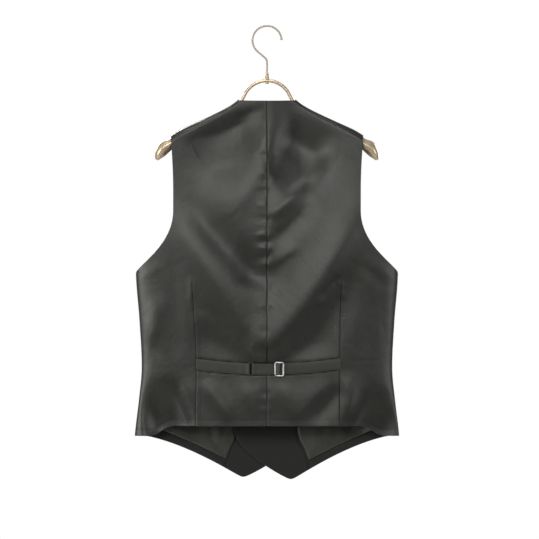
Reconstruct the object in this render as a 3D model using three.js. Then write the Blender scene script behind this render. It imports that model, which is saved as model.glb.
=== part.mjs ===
// A double-breasted suit waistcoat hanging on a shaped clothes hanger.
//
// The cloth is a set of thin walls, one for each piece that a tailor cuts: two satin back panels,
// two wool fronts that lap at the centre front, and inside each front a wool facing, a turned-up
// wool hem and a satin lining. Two straps, a ring and a sliding buckle draw in the back waist.
// The shoulders lie over the arms of the hanger, which hangs by its hook.
//
// Millimetres. +X is the wearer's left, -Y the wearer's front and +Z up. The origin is the point
// inside the top of the hook where a rail bears. Heights are negative because all of it hangs.

import * as THREE from "three";

// Cloth and seams
const SEAM_GAP = 0.3;
const BACK_WALL = 1.2;
const FRONT_WALL = 1.6;
const INNER_WALL = 1.0;
const REST_GAP = 0.85; // between the cloth and the hanger that carries it
const CLOTH_LIFT = FRONT_WALL + SEAM_GAP + INNER_WALL + REST_GAP; // outer face above the arm

// Neck and shoulder line, where the cloth turns over the hanger
const NECK = { half: 52, z: -131, dip: 1.0, depth: 20, riseInside: 0.5 };
const SHOULDER = { slope: 0.45, ease: 7, easeRun: 14, endFrom: 150, endDrop: 3, endRun: 24 };
const SHOULDER_SEAM = 6; // how far behind the shoulder line the seam lies
const SETTLE = { start: 28, run: 160 }; // drop in which the cloth opens out to its full depth

// Armholes: nearly straight down the blade, then a power curve out to the side
const ARMHOLE = { half: 169, flare: 5, flareFrom: -300, flareRun: 103, curveFrom: -330, power: 2.05 };
const FRONT_ARMHOLE_CUT = { in: 8, fromZ: -200, run: 90 };
const UNDERARM = { z: -445, half: 236.5 };

// The body hangs as a flattened oval, with its side seam a little in front of the side
const ROUNDNESS = 2.5;
const SIDE_SEAM = 97;
const SIDE_SEAM_HALF_GAP = 0.2;
const LEVELS = [
  { z: -132, half: 236.5, back: 22, front: 20 },
  { z: -300, half: 236.5, back: 32, front: 31 },
  { z: -445, half: 236.5, back: 37, front: 38 },
  { z: -530, half: 230, back: 35, front: 37 },
  { z: -615, half: 226, back: 31, front: 35 },
  { z: -672, half: 231, back: 31, front: 36 },
  { z: -720, half: 236.8, back: 31.5, front: 37 },
  { z: -740, half: 238.5, back: 32, front: 37 },
  { z: -820, half: 238.5, back: 33, front: 37 },
];

// Hems
const BACK_HEM = { z: -719, sideDrop: 18, dropFrom: 168, dropTo: 212 };
const FRONT_HEM = { sideZ: -735, power: 1.5, bodyEndZ: -665 };
const HEM_TURN_UP = 20;

// Front edges, measured towards their own side, so past the centre line is negative
const LAP = { half: 60, shift: 2.1, blend: 60, startZ: -180, fullZ: -300 };
const LAP_CORNER = { x: -60, z: -460 };
const CUTAWAY = { fromZ: -720, pullZ: -765, tipX: 43.5, hemShare: 0.94 };
const TIP_Z = { left: -815, right: -819 };
const NECKLINE_BOW = 16;
const FACING_EDGE = [
  { z: -132, x: 100 },
  { z: -300, x: 74 },
  { z: -460, x: 53 },
  { z: -720, x: 49 },
  { z: -745, x: 53 },
  { z: -765, x: 63 },
  { z: -790, x: 71.5 },
  { z: -830, x: 80 },
];

// Soft folds between two points of a face: a ridge where the height is positive, or else a trough.
// left and right are the widths of its two sides as seen from behind, and bow bends its middle to
// the left.
const BACK_FOLDS = [
  { x0: 10, z0: -156, x1: 126, z1: -212, left: 17, right: 40, height: -6.5, bow: 0 },
  { x0: 96, z0: -282, x1: 26, z1: -298, left: 42, right: 46, height: 3, bow: 0 },
  { x0: 134, z0: -322, x1: -4, z1: -474, left: 22, right: 30, height: -7, bow: 6 },
  { x0: 50, z0: -448, x1: -28, z1: -450, left: 18, right: 52, height: -6, bow: 0 },
  { x0: 160, z0: -370, x1: 18, z1: -590, left: 26, right: 34, height: 6, bow: -10 },
  { x0: 118, z0: -545, x1: 50, z1: -612, left: 30, right: 30, height: -3, bow: 0 },
  { x0: 30, z0: -584, x1: -30, z1: -590, left: 18, right: 60, height: 4, bow: 0 },
  { x0: -28, z0: -204, x1: -98, z1: -236, left: 60, right: 34, height: -12, bow: 0 },
  { x0: -156, z0: -350, x1: -6, z1: -578, left: 34, right: 24, height: 9, bow: -10 },
  { x0: -160, z0: -440, x1: -50, z1: -612, left: 26, right: 40, height: -6, bow: -6 },
  { x0: 140, z0: -712, x1: 210, z1: -728, left: 60, right: 30, height: -20, bow: 0 },
  { x0: -152, z0: -722, x1: -228, z1: -742, left: 30, right: 56, height: -18, bow: 0 },
  { x0: 112, z0: -640, x1: 66, z1: -702, left: 15, right: 18, height: 3.5, bow: 0 },
  { x0: -112, z0: -636, x1: -48, z1: -702, left: 30, right: 14, height: 2.2, bow: 0 },
  { x0: -134, z0: -652, x1: -86, z1: -708, left: 14, right: 18, height: -3, bow: 0 },
  { x0: 147, z0: -640, x1: 150, z1: -712, left: 10, right: 16, height: 2, bow: 0 },
  { x0: -144, z0: -625, x1: -150, z1: -708, left: 14, right: 18, height: 4, bow: 0 },
];
const FRONT_FOLDS = [
  { x0: 150, z0: -300, x1: 70, z1: -470, left: 26, right: 26, height: -3, bow: 0 },
  { x0: -148, z0: -320, x1: -74, z1: -500, left: 26, right: 26, height: -3, bow: 0 },
  { x0: 175, z0: -520, x1: 90, z1: -650, left: 24, right: 24, height: 2.5, bow: 0 },
  { x0: -170, z0: -500, x1: -96, z1: -640, left: 24, right: 24, height: 2.5, bow: 0 },
];
const STRAP_CALM = { z: -613, run: 26, share: 0.9 }; // the straps press flat the folds under them
const FOLD_END = 0.95; // how soon a fold dies away past its ends
const FOLD_FADE = { lens: 0.7, startBelow: 4, run: 30 };

// Panel grids: rows over the hanger's arm, down to the underarm and below it, and columns across
const BACK_GRID = { roll: 3, upper: 11, lower: 12, across: 14 };
const FRONT_GRID = { behind: 2, roll: 4, upper: 9, body: 7, tail: 4, lining: 9, facing: 5 };
const FRONT_UNDERARM_ROW = FRONT_GRID.behind + FRONT_GRID.roll + FRONT_GRID.upper;
const FRONT_HEM_ROW = FRONT_UNDERARM_ROW + FRONT_GRID.body + FRONT_GRID.tail;
const ROW_CROWDING = 1.2; // rows crowd towards the shoulder
const NORMAL_STEP = 0.5; // millimetres or degrees either way

// Waist straps, ring and sliding buckle
const STRAP = { width: 19.6, wall: 1.0, lift: 0.5, endZ: -608, sag: 9, half: 127, rightEnd: 133 };
const RING = { x: 29, width: 9.2, height: 23.4, bar: 1.4, slack: 0.15 };
const LEFT_TURN_BACK = 46; // where the left strap's turned-back end is stitched
const BUCKLE = { x: -22, width: 17, height: 26, bar: 2.1, centreBar: 1.8, thick: 1.6, corner: 2.6 };

// Buttons: three rows of two on the left front
const BUTTON = { radius: 7.5, thick: 3, dish: 0.7, lip: 1.6, column: 45, rows: [-482, -571, -660] };

// Hanger: an arch that widens into two shaped arms, and a wire hook with a ferrule
const ARCH = { radius: 45, topZ: -97, tube: 3.1, legAngle: 58, steps: 7 };
const LEG = [
  { x: 44, z: -129.5, tilt: 60, halfDepth: 3.2, halfHeight: 3.1 },
  { x: 49.5, z: -138.6, tilt: 42, halfDepth: 3.5, halfHeight: 3.2 },
];
const ARM = [
  { x: 60, halfDepth: 4.6, halfHeight: 4.1 },
  { x: 63.5, halfDepth: 5.0, halfHeight: 4.3 },
  { x: 67, halfDepth: 5.4, halfHeight: 4.5 },
  { x: 75, halfDepth: 6.5, halfHeight: 5.0 },
  { x: 86, halfDepth: 8.1, halfHeight: 5.7 },
  { x: 100, halfDepth: 10.2, halfHeight: 6.6 },
  { x: 117, halfDepth: 12.8, halfHeight: 7.6 },
  { x: 134, halfDepth: 15.3, halfHeight: 8.5 },
  { x: 150, halfDepth: 17.2, halfHeight: 9.1 },
  { x: 160, halfDepth: 18.1, halfHeight: 9.4 },
  { x: 170, halfDepth: 18.8, halfHeight: 9.7 },
];
const ARM_TIP = [
  { x: 175.5, z: -212, tilt: 20, halfDepth: 19, halfHeight: 10 },
  { x: 185, z: -217.5, tilt: 38, halfDepth: 18.6, halfHeight: 12 },
  { x: 192.3, z: -227, tilt: 52, halfDepth: 16.6, halfHeight: 10 },
  { x: 197, z: -235, tilt: 60, halfDepth: 12, halfHeight: 6 },
  { x: 198.8, z: -240, tilt: 64, halfDepth: 6, halfHeight: 2.2 },
];
const ARM_SIDES = 16;
const ARM_SIDE_GAP = 1; // extra room for the cloth in front of and behind the arm
const HOOK = { wire: 1.75, radius: 26.2, tipAngle: 174, bendAngle: -42, steps: 24, sides: 10 };
const HOOK_STEM = [
  { x: 14, z: -47.2 },
  { x: 6.2, z: -53.6 },
  { x: 1.2, z: -58.8 },
  { x: 0, z: -65.5 },
  { x: 0, z: -80 },
  { x: 0, z: -93 },
];
const HOOK_BALL = { radius: 2.4, steps: 4 };
const FERRULE = { base: 4.6, top: 2.7, baseZ: -93.4, topZ: -83 };
const NUT = { radius: 3.4, height: 2.6 };

const MATERIAL = {
  satin: { color: 0x4a4b47, roughness: 0.45, metalness: 0 },
  wool: { color: 0x2a2c2a, roughness: 0.9, metalness: 0 },
  ringMetal: { color: 0x1c1c1a, roughness: 0.4, metalness: 0.8 },
  buckleMetal: { color: 0xb9bab4, roughness: 0.25, metalness: 1 },
  button: { color: 0x1d1e1d, roughness: 0.4, metalness: 0 },
  hangerGold: { color: 0xd9bf8f, roughness: 0.35, metalness: 0.7 },
  hookMetal: { color: 0xd8cbb4, roughness: 0.3, metalness: 1 },
};

const radians = THREE.MathUtils.degToRad;
const degrees = THREE.MathUtils.radToDeg;
const clamp01 = (t) => Math.min(1, Math.max(0, t));
const smooth = (t) => clamp01(t) ** 2 * (3 - 2 * clamp01(t));
const mix = (a, b, t) => a + (b - a) * t;

// A smooth curve through one column of a table, read against another column that rises or falls
// from row to row. Each row's slope comes from the rows on both sides of it.
function through(rows, key, value, at) {
  const last = rows.length - 1;
  const rising = rows[last][key] > rows[0][key];
  const passed = (row) => (rising ? at > row[key] : at < row[key]);
  let i = 0;
  while (i < last - 1 && passed(rows[i + 1])) i += 1;
  const slope = (k) => {
    const before = rows[Math.max(0, k - 1)];
    const after = rows[Math.min(last, k + 1)];
    return (after[value] - before[value]) / (after[key] - before[key]);
  };
  const run = rows[i + 1][key] - rows[i][key];
  const t = clamp01((at - rows[i][key]) / run);
  const ends = mix(rows[i][value], rows[i + 1][value], t * t * (3 - 2 * t));
  return ends + run * (t * (1 - t) ** 2 * slope(i) - t * t * (1 - t) * slope(i + 1));
}

// Repeats a step until a height and a distance that depend on each other agree.
function settle(start, step) {
  let value = start;
  for (let i = 0; i < 14; i += 1) value = step(value);
  return value;
}

// Height of the shoulder line. Inside the neck it runs on upwards, so that the cloth there, which
// nothing carries, counts as lying well below it.
function ridge(x) {
  if (x < NECK.half) return NECK.z + NECK.riseInside * (NECK.half - x);
  const out = x - NECK.half;
  const end = clamp01((x - SHOULDER.endFrom) / SHOULDER.endRun);
  const drop = SHOULDER.ease * (1 - Math.exp(-out / SHOULDER.easeRun));
  return NECK.z - SHOULDER.slope * out - drop - SHOULDER.endDrop * end ** 2;
}

// Half height and half depth of the roll of cloth over the arm.
function rollHeight(x) {
  return through(ARM, "x", "halfHeight", Math.max(x, NECK.half)) + CLOTH_LIFT;
}

function rollDepth(x) {
  const overArm = through(ARM, "x", "halfDepth", Math.max(x, NECK.half)) + CLOTH_LIFT + ARM_SIDE_GAP;
  return mix(NECK.depth, overArm, smooth(x / NECK.half));
}

// Length of a quarter of the roll, the cloth's length from the shoulder line down to a height, and
// the way back from a length to the drop below the line.
const quarterRoll = (x) => (Math.PI / 4) * (rollHeight(x) + rollDepth(x));

function lengthDown(x, z) {
  const below = ridge(x) - z;
  const height = rollHeight(x);
  if (below >= height) return quarterRoll(x) + below - height;
  return (Math.acos(1 - below / height) / (Math.PI / 2)) * quarterRoll(x);
}

function dropAfter(x, length) {
  const quarter = quarterRoll(x);
  if (length >= quarter) return rollHeight(x) + length - quarter;
  return rollHeight(x) * (1 - Math.cos(((length / quarter) * Math.PI) / 2));
}

// The oval: half width at a height, distance from the centre line for an angle round from the
// centre back, and the angle for a distance on the back face.
const halfWidth = (z) => through(LEVELS, "z", "half", z);

function acrossAt(turn, z) {
  const s = Math.sin(radians(turn));
  return Math.sign(s) * halfWidth(z) * Math.abs(s) ** (2 / ROUNDNESS);
}

const turnAt = (x, z) => degrees(Math.asin(Math.min(1, x / halfWidth(z)) ** (ROUNDNESS / 2)));

// The sum of the soft folds at a point. Each is a bell across its own bowed line, and dies away past
// both ends of the line.
function foldHeight(folds, x, z) {
  let sum = 0;
  for (const f of folds) {
    const dx = f.x1 - f.x0;
    const dz = f.z1 - f.z0;
    const length = Math.hypot(dx, dz);
    const fromX = x - (f.x0 + f.x1) / 2;
    const fromZ = z - (f.z0 + f.z1) / 2;
    const along = (fromX * dx + fromZ * dz) / (length ** 2 / 2);
    const across = (fromZ * dx - fromX * dz) / length - f.bow * (1 - along ** 2);
    const away = across / (across > 0 ? f.left : f.right);
    sum += f.height * Math.exp(-(away ** 2) - (FOLD_END * along) ** 4);
  }
  return sum;
}

// A point of the outer skin. own is its distance from the centre line towards its own side, turn
// its angle round from the centre back, and shift how far it is moved out.
function skinPoint(side, own, z, turn, shift) {
  const onBack = turn <= 90;
  const x = Math.abs(own);
  const below = ridge(x) - z;
  const height = rollHeight(x);
  const lens = Math.abs(Math.cos(radians(turn))) ** (2 / ROUNDNESS);
  const full = through(LEVELS, "z", onBack ? "back" : "front", z) * lens;
  const turned = Math.sqrt(1 - (1 - clamp01(below / height)) ** 2);
  const settled = smooth((below - height - SETTLE.start) / SETTLE.run);
  const depth = rollDepth(x) * turned + (full - rollDepth(x)) * settled;
  const calm = 1 - STRAP_CALM.share * Math.exp(-(((z - STRAP_CALM.z) / STRAP_CALM.run) ** 2));
  const worldX = side * own;
  const folds = onBack ? calm * foldHeight(BACK_FOLDS, worldX, z) : foldHeight(FRONT_FOLDS, worldX, z);
  const fade = smooth(lens / FOLD_FADE.lens) * smooth((below - FOLD_FADE.startBelow) / FOLD_FADE.run);
  const y = depth + folds * fade + shift;
  return new THREE.Vector3(worldX, onBack ? y : -y, z);
}

// A place on the skin with its outward normal, from points a small step away each way. length is
// measured from the shoulder line, and is negative on the far side of it.
function skinPlace(side, turn, length, shiftAt) {
  const pointAt = (t, l) => {
    const zAt = (x) => ridge(Math.abs(x)) - dropAfter(Math.abs(x), Math.abs(l));
    const own = settle(NECK.half, (x) => acrossAt(t, zAt(x)));
    return skinPoint(side, own, zAt(own), l < 0 ? 180 - t : t, shiftAt(own, zAt(own)));
  };
  const across = pointAt(turn + NORMAL_STEP, length).sub(pointAt(turn - NORMAL_STEP, length));
  const down = pointAt(turn, length + NORMAL_STEP).sub(pointAt(turn, length - NORMAL_STEP));
  return { point: pointAt(turn, length), normal: across.cross(down).normalize().multiplyScalar(side) };
}

// Armhole: half width of the panel at a height. The angle bends on to the side seam at the end.
function armholeHalf(z, cut) {
  const inner = ARMHOLE.half - cut * smooth((FRONT_ARMHOLE_CUT.fromZ - z) / FRONT_ARMHOLE_CUT.run);
  const up = Math.max(0, z - ARMHOLE.flareFrom) / ARMHOLE.flareRun;
  const down = clamp01((ARMHOLE.curveFrom - z) / (ARMHOLE.curveFrom - UNDERARM.z));
  return mix(inner + ARMHOLE.flare * up ** 2, UNDERARM.half, down ** ARMHOLE.power);
}

function armholeTurnOn(z) {
  return (SIDE_SEAM - 90) * clamp01((ARMHOLE.curveFrom - z) / (ARMHOLE.curveFrom - UNDERARM.z)) ** 3;
}

// Back panel: rows follow the neckline and shoulder seam above the underarm and level out to the
// hem below it, columns run from the centre back to the armhole and side seam.
function backTopLength(x) {
  const seam = SHOULDER_SEAM + SEAM_GAP;
  if (x >= NECK.half) return seam;
  const atPoint = NECK.z - dropAfter(NECK.half, seam);
  return lengthDown(x, atPoint - NECK.dip * (1 - (x / NECK.half) ** 2));
}

// The cloth's length from the shoulder line to a row, as a function of the distance across.
function backRow(row) {
  const rollEnd = (x) => Math.max(quarterRoll(x), backTopLength(x) + SHOULDER_SEAM);
  if (row <= BACK_GRID.roll) return (x) => mix(backTopLength(x), rollEnd(x), row / BACK_GRID.roll);
  const past = row - BACK_GRID.roll;
  if (past <= BACK_GRID.upper) {
    const share = (past / BACK_GRID.upper) ** ROW_CROWDING;
    return (x) => mix(rollEnd(x), lengthDown(x, UNDERARM.z), share);
  }
  const share = (past - BACK_GRID.upper) / BACK_GRID.lower;
  const hemDrop = (x) => smooth((x - BACK_HEM.dropFrom) / (BACK_HEM.dropTo - BACK_HEM.dropFrom));
  return (x) => lengthDown(x, mix(UNDERARM.z, BACK_HEM.z - BACK_HEM.sideDrop * hemDrop(x), share));
}

function backGrid(side) {
  const grid = [];
  const underarmRow = BACK_GRID.roll + BACK_GRID.upper;
  for (let row = 0; row <= underarmRow + BACK_GRID.lower; row += 1) {
    const lengthAt = backRow(row);
    const zAt = (x) => ridge(x) - dropAfter(x, lengthAt(x));
    let edgeTurn = SIDE_SEAM - SIDE_SEAM_HALF_GAP;
    if (row < underarmRow) {
      const edge = settle(ARMHOLE.half, (x) => armholeHalf(zAt(x), 0));
      edgeTurn = turnAt(edge, zAt(edge)) + armholeTurnOn(zAt(edge)) - SIDE_SEAM_HALF_GAP;
    }
    const places = [];
    for (let column = 0; column <= BACK_GRID.across; column += 1) {
      const turn = (edgeTurn * column) / BACK_GRID.across;
      const own = settle(ARMHOLE.half, (x) => acrossAt(turn, zAt(x)));
      places.push(skinPlace(side, turn, lengthAt(own), () => 0));
    }
    grid.push(places);
  }
  for (const places of grid) {
    places[0].point.x = (side * SEAM_GAP) / 2;
    places[0].normal.setX(0).normalize();
  }
  return grid;
}

// Front panel: rows run from the shoulder seam, behind the shoulder line, to the hem and point,
// columns from the armhole and side seam through the facing's inner edge to the front edge.
function necklineOwn(z) {
  const t = clamp01((z - NECK.z) / (LAP_CORNER.z - NECK.z));
  return mix(NECK.half, LAP_CORNER.x, t) + NECKLINE_BOW * Math.sin(Math.PI * t) * t;
}

function cutawayPoint(t, tipZ) {
  const bend = (a, b, c) => (1 - t) ** 2 * a + 2 * t * (1 - t) * b + t * t * c;
  return {
    x: bend(LAP_CORNER.x, LAP_CORNER.x, CUTAWAY.tipX),
    z: bend(CUTAWAY.fromZ, CUTAWAY.pullZ, tipZ),
  };
}

const heightAfter = (x, length) => ridge(Math.abs(x)) - dropAfter(Math.abs(x), Math.abs(length));

// A row above the underarm: the seam, then the roll over the arm, then down to the underarm.
function upperFrontRow(row) {
  const levelAt = (x) => {
    const t = clamp01((UNDERARM.half - x) / (UNDERARM.half - LAP_CORNER.x));
    return mix(UNDERARM.z, LAP_CORNER.z, t);
  };
  const rollShare = (row - FRONT_GRID.behind) / FRONT_GRID.roll;
  const pastRoll = row - FRONT_GRID.behind - FRONT_GRID.roll;
  const share = Math.max(0, pastRoll / FRONT_GRID.upper) ** ROW_CROWDING;
  const lengthAt = (x) => {
    if (rollShare < 0) return -SHOULDER_SEAM * (1 - row / FRONT_GRID.behind);
    if (rollShare <= 1) return quarterRoll(Math.abs(x)) * rollShare;
    return mix(quarterRoll(Math.abs(x)), lengthDown(Math.abs(x), levelAt(x)), share);
  };
  const zAt = (x) => heightAfter(x, lengthAt(x));
  const edge = settle(ARMHOLE.half, (x) => armholeHalf(zAt(x), FRONT_ARMHOLE_CUT.in));
  const front = settle(NECK.half, (x) => necklineOwn(zAt(x)));
  const seamTurn = 180 - turnAt(edge, zAt(edge)) + armholeTurnOn(zAt(edge));
  return { lengthAt, zAt, seamTurn: seamTurn + SIDE_SEAM_HALF_GAP, front };
}

// A row below the underarm: down the straight front edge, then along the cutaway to the point.
function lowerFrontRow(step, tipZ) {
  const inBody = step <= FRONT_GRID.body;
  let sideZ = mix(UNDERARM.z, FRONT_HEM.bodyEndZ, step / FRONT_GRID.body);
  let front = { x: LAP_CORNER.x, z: mix(LAP_CORNER.z, CUTAWAY.fromZ, step / FRONT_GRID.body) };
  if (!inBody) {
    const part = (step - FRONT_GRID.body) / FRONT_GRID.tail;
    const atHem = part > 1;
    sideZ = atHem ? FRONT_HEM.sideZ : mix(FRONT_HEM.bodyEndZ, FRONT_HEM.sideZ + HEM_TURN_UP, part);
    front = cutawayPoint(atHem ? 1 : part * CUTAWAY.hemShare, tipZ);
  }
  const sideX = halfWidth(sideZ);
  const steps = FRONT_GRID.body + FRONT_GRID.tail + 1;
  const power = mix(1, FRONT_HEM.power, (step / steps) ** 2);
  const zAt = (x) => mix(sideZ, front.z, clamp01((sideX - x) / (sideX - front.x)) ** power);
  const lengthAt = (x) => lengthDown(Math.abs(x), zAt(x));
  return { lengthAt, zAt, seamTurn: SIDE_SEAM + SIDE_SEAM_HALF_GAP, front: front.x };
}

function lapShift(side, own, z) {
  const across = smooth((LAP.half + LAP.blend - own) / LAP.blend);
  const down = smooth((z - LAP.startZ) / (LAP.fullZ - LAP.startZ));
  return side * LAP.shift * across * down;
}

function frontGrid(side) {
  const tipZ = side > 0 ? TIP_Z.left : TIP_Z.right;
  const grid = [];
  for (let index = 0; index <= FRONT_HEM_ROW + 1; index += 1) {
    const lower = index - FRONT_UNDERARM_ROW;
    const row = lower < 0 ? upperFrontRow(index) : lowerFrontRow(lower, tipZ);
    const frontTurn = 180 - Math.sign(row.front) * turnAt(Math.abs(row.front), row.zAt(row.front));
    const facing = settle(LAP.half, (x) => through(FACING_EDGE, "z", "x", row.zAt(x)));
    const facingTurn = 180 - turnAt(facing, row.zAt(facing));
    const places = [];
    for (let column = 0; column <= FRONT_GRID.lining + FRONT_GRID.facing; column += 1) {
      const past = column - FRONT_GRID.lining;
      const turn =
        past <= 0
          ? mix(row.seamTurn, facingTurn, column / FRONT_GRID.lining)
          : mix(facingTurn, frontTurn, past / FRONT_GRID.facing);
      const own = settle(NECK.half, (x) => acrossAt(turn, row.zAt(x)));
      places.push(skinPlace(side, turn, row.lengthAt(own), (x, z) => lapShift(side, x, z)));
    }
    grid.push(places);
  }
  return grid;
}

// A grid of places as points, moved in from the skin by a distance.
const movedIn = (grid, distance) =>
  grid.map((row) => row.map(({ point, normal }) => point.clone().addScaledVector(normal, -distance)));

// Indexed triangles as a geometry, turned round if they enclose a negative volume.
function closedGeometry(points, triangles) {
  let volume = 0;
  for (const [a, b, c] of triangles) {
    volume += points[a].dot(points[b].clone().cross(points[c]));
  }
  const facing = volume < 0 ? triangles.map(([a, b, c]) => [a, c, b]) : triangles;
  const geometry = new THREE.BufferGeometry().setFromPoints(points);
  geometry.setIndex(facing.flat());
  geometry.computeVertexNormals();
  return geometry;
}

const cellTriangles = (a, b, c, d) => [
  [a, b, c],
  [a, c, d],
];

// A closed wall between two grids of the same size: both skins and the rim round them.
function wallBetween(outer, inner) {
  const rows = outer.length;
  const columns = outer[0].length;
  const points = [...outer.flat(), ...inner.flat()];
  const at = (r, c, layer) => layer * rows * columns + r * columns + c;
  const triangles = [];
  for (let r = 0; r < rows - 1; r += 1) {
    for (let c = 0; c < columns - 1; c += 1) {
      triangles.push(...cellTriangles(at(r, c, 0), at(r, c + 1, 0), at(r + 1, c + 1, 0), at(r + 1, c, 0)));
      triangles.push(...cellTriangles(at(r, c, 1), at(r + 1, c, 1), at(r + 1, c + 1, 1), at(r, c + 1, 1)));
    }
  }
  const rim = (r0, c0, r1, c1) =>
    triangles.push(...cellTriangles(at(r0, c0, 0), at(r0, c0, 1), at(r1, c1, 1), at(r1, c1, 0)));
  for (let c = 0; c < columns - 1; c += 1) {
    rim(0, c, 0, c + 1);
    rim(rows - 1, c + 1, rows - 1, c);
  }
  for (let r = 0; r < rows - 1; r += 1) {
    rim(r + 1, 0, r, 0);
    rim(r, columns - 1, r + 1, columns - 1);
  }
  return closedGeometry(points, triangles);
}

// Part of a grid, with the named edges pulled in along the grid's lines by half a seam gap.
function patch(grid, rows, columns, pull) {
  const part = grid.slice(rows[0], rows[1] + 1).map((row) => row.slice(columns[0], columns[1] + 1));
  const towards = (p, q) => p.clone().addScaledVector(q.clone().sub(p).normalize(), SEAM_GAP / 2);
  const last = part.length - 1;
  const end = part[0].length - 1;
  let result = part;
  if (pull.top) result = [result[0].map((p, c) => towards(p, result[1][c])), ...result.slice(1)];
  if (pull.bottom) {
    result = [...result.slice(0, last), result[last].map((p, c) => towards(p, result[last - 1][c]))];
  }
  if (pull.side) result = result.map((row) => [towards(row[0], row[1]), ...row.slice(1)]);
  if (pull.front) {
    result = result.map((row) => [...row.slice(0, end), towards(row[end], row[end - 1])]);
  }
  return result;
}

// The depth of a panel's flat cells at a point seen from the back or front, and of several at once.
function depthOn(grids, x, z) {
  for (const grid of grids) {
    for (let r = 0; r < grid.length - 1; r += 1) {
      for (let c = 0; c < grid[0].length - 1; c += 1) {
        const corners = [grid[r][c], grid[r][c + 1], grid[r + 1][c + 1], grid[r + 1][c]];
        for (const [i, j, k] of cellTriangles(0, 1, 2, 3)) {
          const [a, b, p] = [corners[i], corners[j], corners[k]];
          const area = (b.x - a.x) * (p.z - a.z) - (p.x - a.x) * (b.z - a.z);
          const v = ((x - a.x) * (p.z - a.z) - (p.x - a.x) * (z - a.z)) / area;
          const w = ((b.x - a.x) * (z - a.z) - (x - a.x) * (b.z - a.z)) / area;
          if (v >= 0 && w >= 0 && v + w <= 1) return a.y + v * (b.y - a.y) + w * (p.y - a.y);
        }
      }
    }
  }
  return null;
}

// Strap layers, measured out from the back panel to the middle of the strap's own wall.
const LAYER = { low: STRAP.lift + STRAP.wall / 2 };
LAYER.high = LAYER.low + STRAP.wall + SEAM_GAP;
LAYER.loop = RING.bar * Math.SQRT1_2 + SEAM_GAP + RING.slack + STRAP.wall / 2;
LAYER.frame = LAYER.high + STRAP.wall / 2 + SEAM_GAP;
LAYER.overBar = LAYER.frame + BUCKLE.thick + SEAM_GAP + STRAP.wall / 2;

const strapZ = (x) => STRAP.endZ - STRAP.sag * (1 - (x / STRAP.half) ** 2);

// Stations along a straight run of strap between two places, with the end left out.
function strapRun(from, to, steps) {
  const stations = [];
  for (let i = 0; i < steps; i += 1) {
    stations.push({ x: mix(from.x, to.x, i / steps), out: mix(from.out, to.out, i / steps) });
  }
  return stations;
}

// A half turn of strap round a ring bar, from one layer to the other; way is where it bulges.
function strapTurn(barX, way, fromLow) {
  const stations = [];
  for (let i = 0; i <= 6; i += 1) {
    const angle = (Math.PI * (fromLow ? i : 6 - i)) / 6 - Math.PI / 2;
    stations.push({
      x: barX + way * LAYER.loop * Math.cos(angle),
      out: LAYER.low + LAYER.loop * (1 + Math.sin(angle)),
    });
  }
  return stations;
}

function leftStrapPath() {
  const bar = RING.x + (RING.width - RING.bar) / 2;
  const open = { x: LEFT_TURN_BACK + 8, out: LAYER.low };
  const doubled = { x: LEFT_TURN_BACK, out: LAYER.high };
  return [
    ...strapRun({ x: STRAP.half, out: LAYER.low }, open, 8),
    ...strapRun(open, doubled, 2),
    ...strapRun(doubled, { x: bar + 5, out: LAYER.high }, 2),
    { x: bar + 5, out: LAYER.high },
    ...strapTurn(bar, -1, false),
    ...strapRun({ x: bar + 4, out: LAYER.low }, { x: LEFT_TURN_BACK - 1, out: LAYER.low }, 2),
    { x: LEFT_TURN_BACK - 1, out: LAYER.low },
  ];
}

function rightStrapPath() {
  const bar = RING.x - (RING.width - RING.bar) / 2;
  const near = BUCKLE.x + BUCKLE.width / 2;
  const far = BUCKLE.x - BUCKLE.width / 2;
  return [
    ...strapRun({ x: BUCKLE.x + 1, out: LAYER.low }, { x: bar - 4, out: LAYER.low }, 7),
    { x: bar - 4, out: LAYER.low },
    ...strapTurn(bar, 1, true),
    ...strapRun({ x: bar - 5, out: LAYER.high }, { x: near - BUCKLE.bar, out: LAYER.high }, 6),
    { x: near - BUCKLE.bar - 0.3, out: LAYER.high },
    { x: BUCKLE.x + BUCKLE.centreBar / 2 + 0.3, out: LAYER.overBar },
    { x: BUCKLE.x - BUCKLE.centreBar / 2 - 0.3, out: LAYER.overBar },
    { x: far + BUCKLE.bar + 0.3, out: LAYER.low + 0.3 },
    ...strapRun({ x: far, out: LAYER.low }, { x: -STRAP.rightEnd, out: LAYER.low }, 12),
    { x: -STRAP.rightEnd, out: LAYER.low },
  ];
}

// A strap's wall along its path: three points across its width at each station, both faces.
function strapWall(path, backs) {
  const skin = (away) =>
    path.map((station, i) => {
      const before = path[Math.max(0, i - 1)];
      const after = path[Math.min(path.length - 1, i + 1)];
      const length = Math.hypot(after.x - before.x, after.out - before.out);
      const x = station.x + (away * (before.out - after.out)) / length;
      const out = station.out + (away * (after.x - before.x)) / length;
      return [-0.5, 0, 0.5].map((share) => {
        const z = strapZ(station.x) + share * STRAP.width;
        return new THREE.Vector3(x, depthOn(backs, station.x, z) + out, z);
      });
    });
  return wallBetween(skin(STRAP.wall / 2), skin(-STRAP.wall / 2));
}

// A rectangle with rounded corners about a centre, as a closed outline.
function roundedRectangle(target, centreX, width, height, corner) {
  const [x, y] = [width / 2 - corner, height / 2 - corner];
  target.absarc(centreX + x, y, corner, 0, Math.PI / 2);
  target.absarc(centreX - x, y, corner, Math.PI / 2, Math.PI);
  target.absarc(centreX - x, -y, corner, Math.PI, 1.5 * Math.PI);
  target.absarc(centreX + x, -y, corner, 1.5 * Math.PI, 2 * Math.PI);
  target.closePath();
  return target;
}

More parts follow.
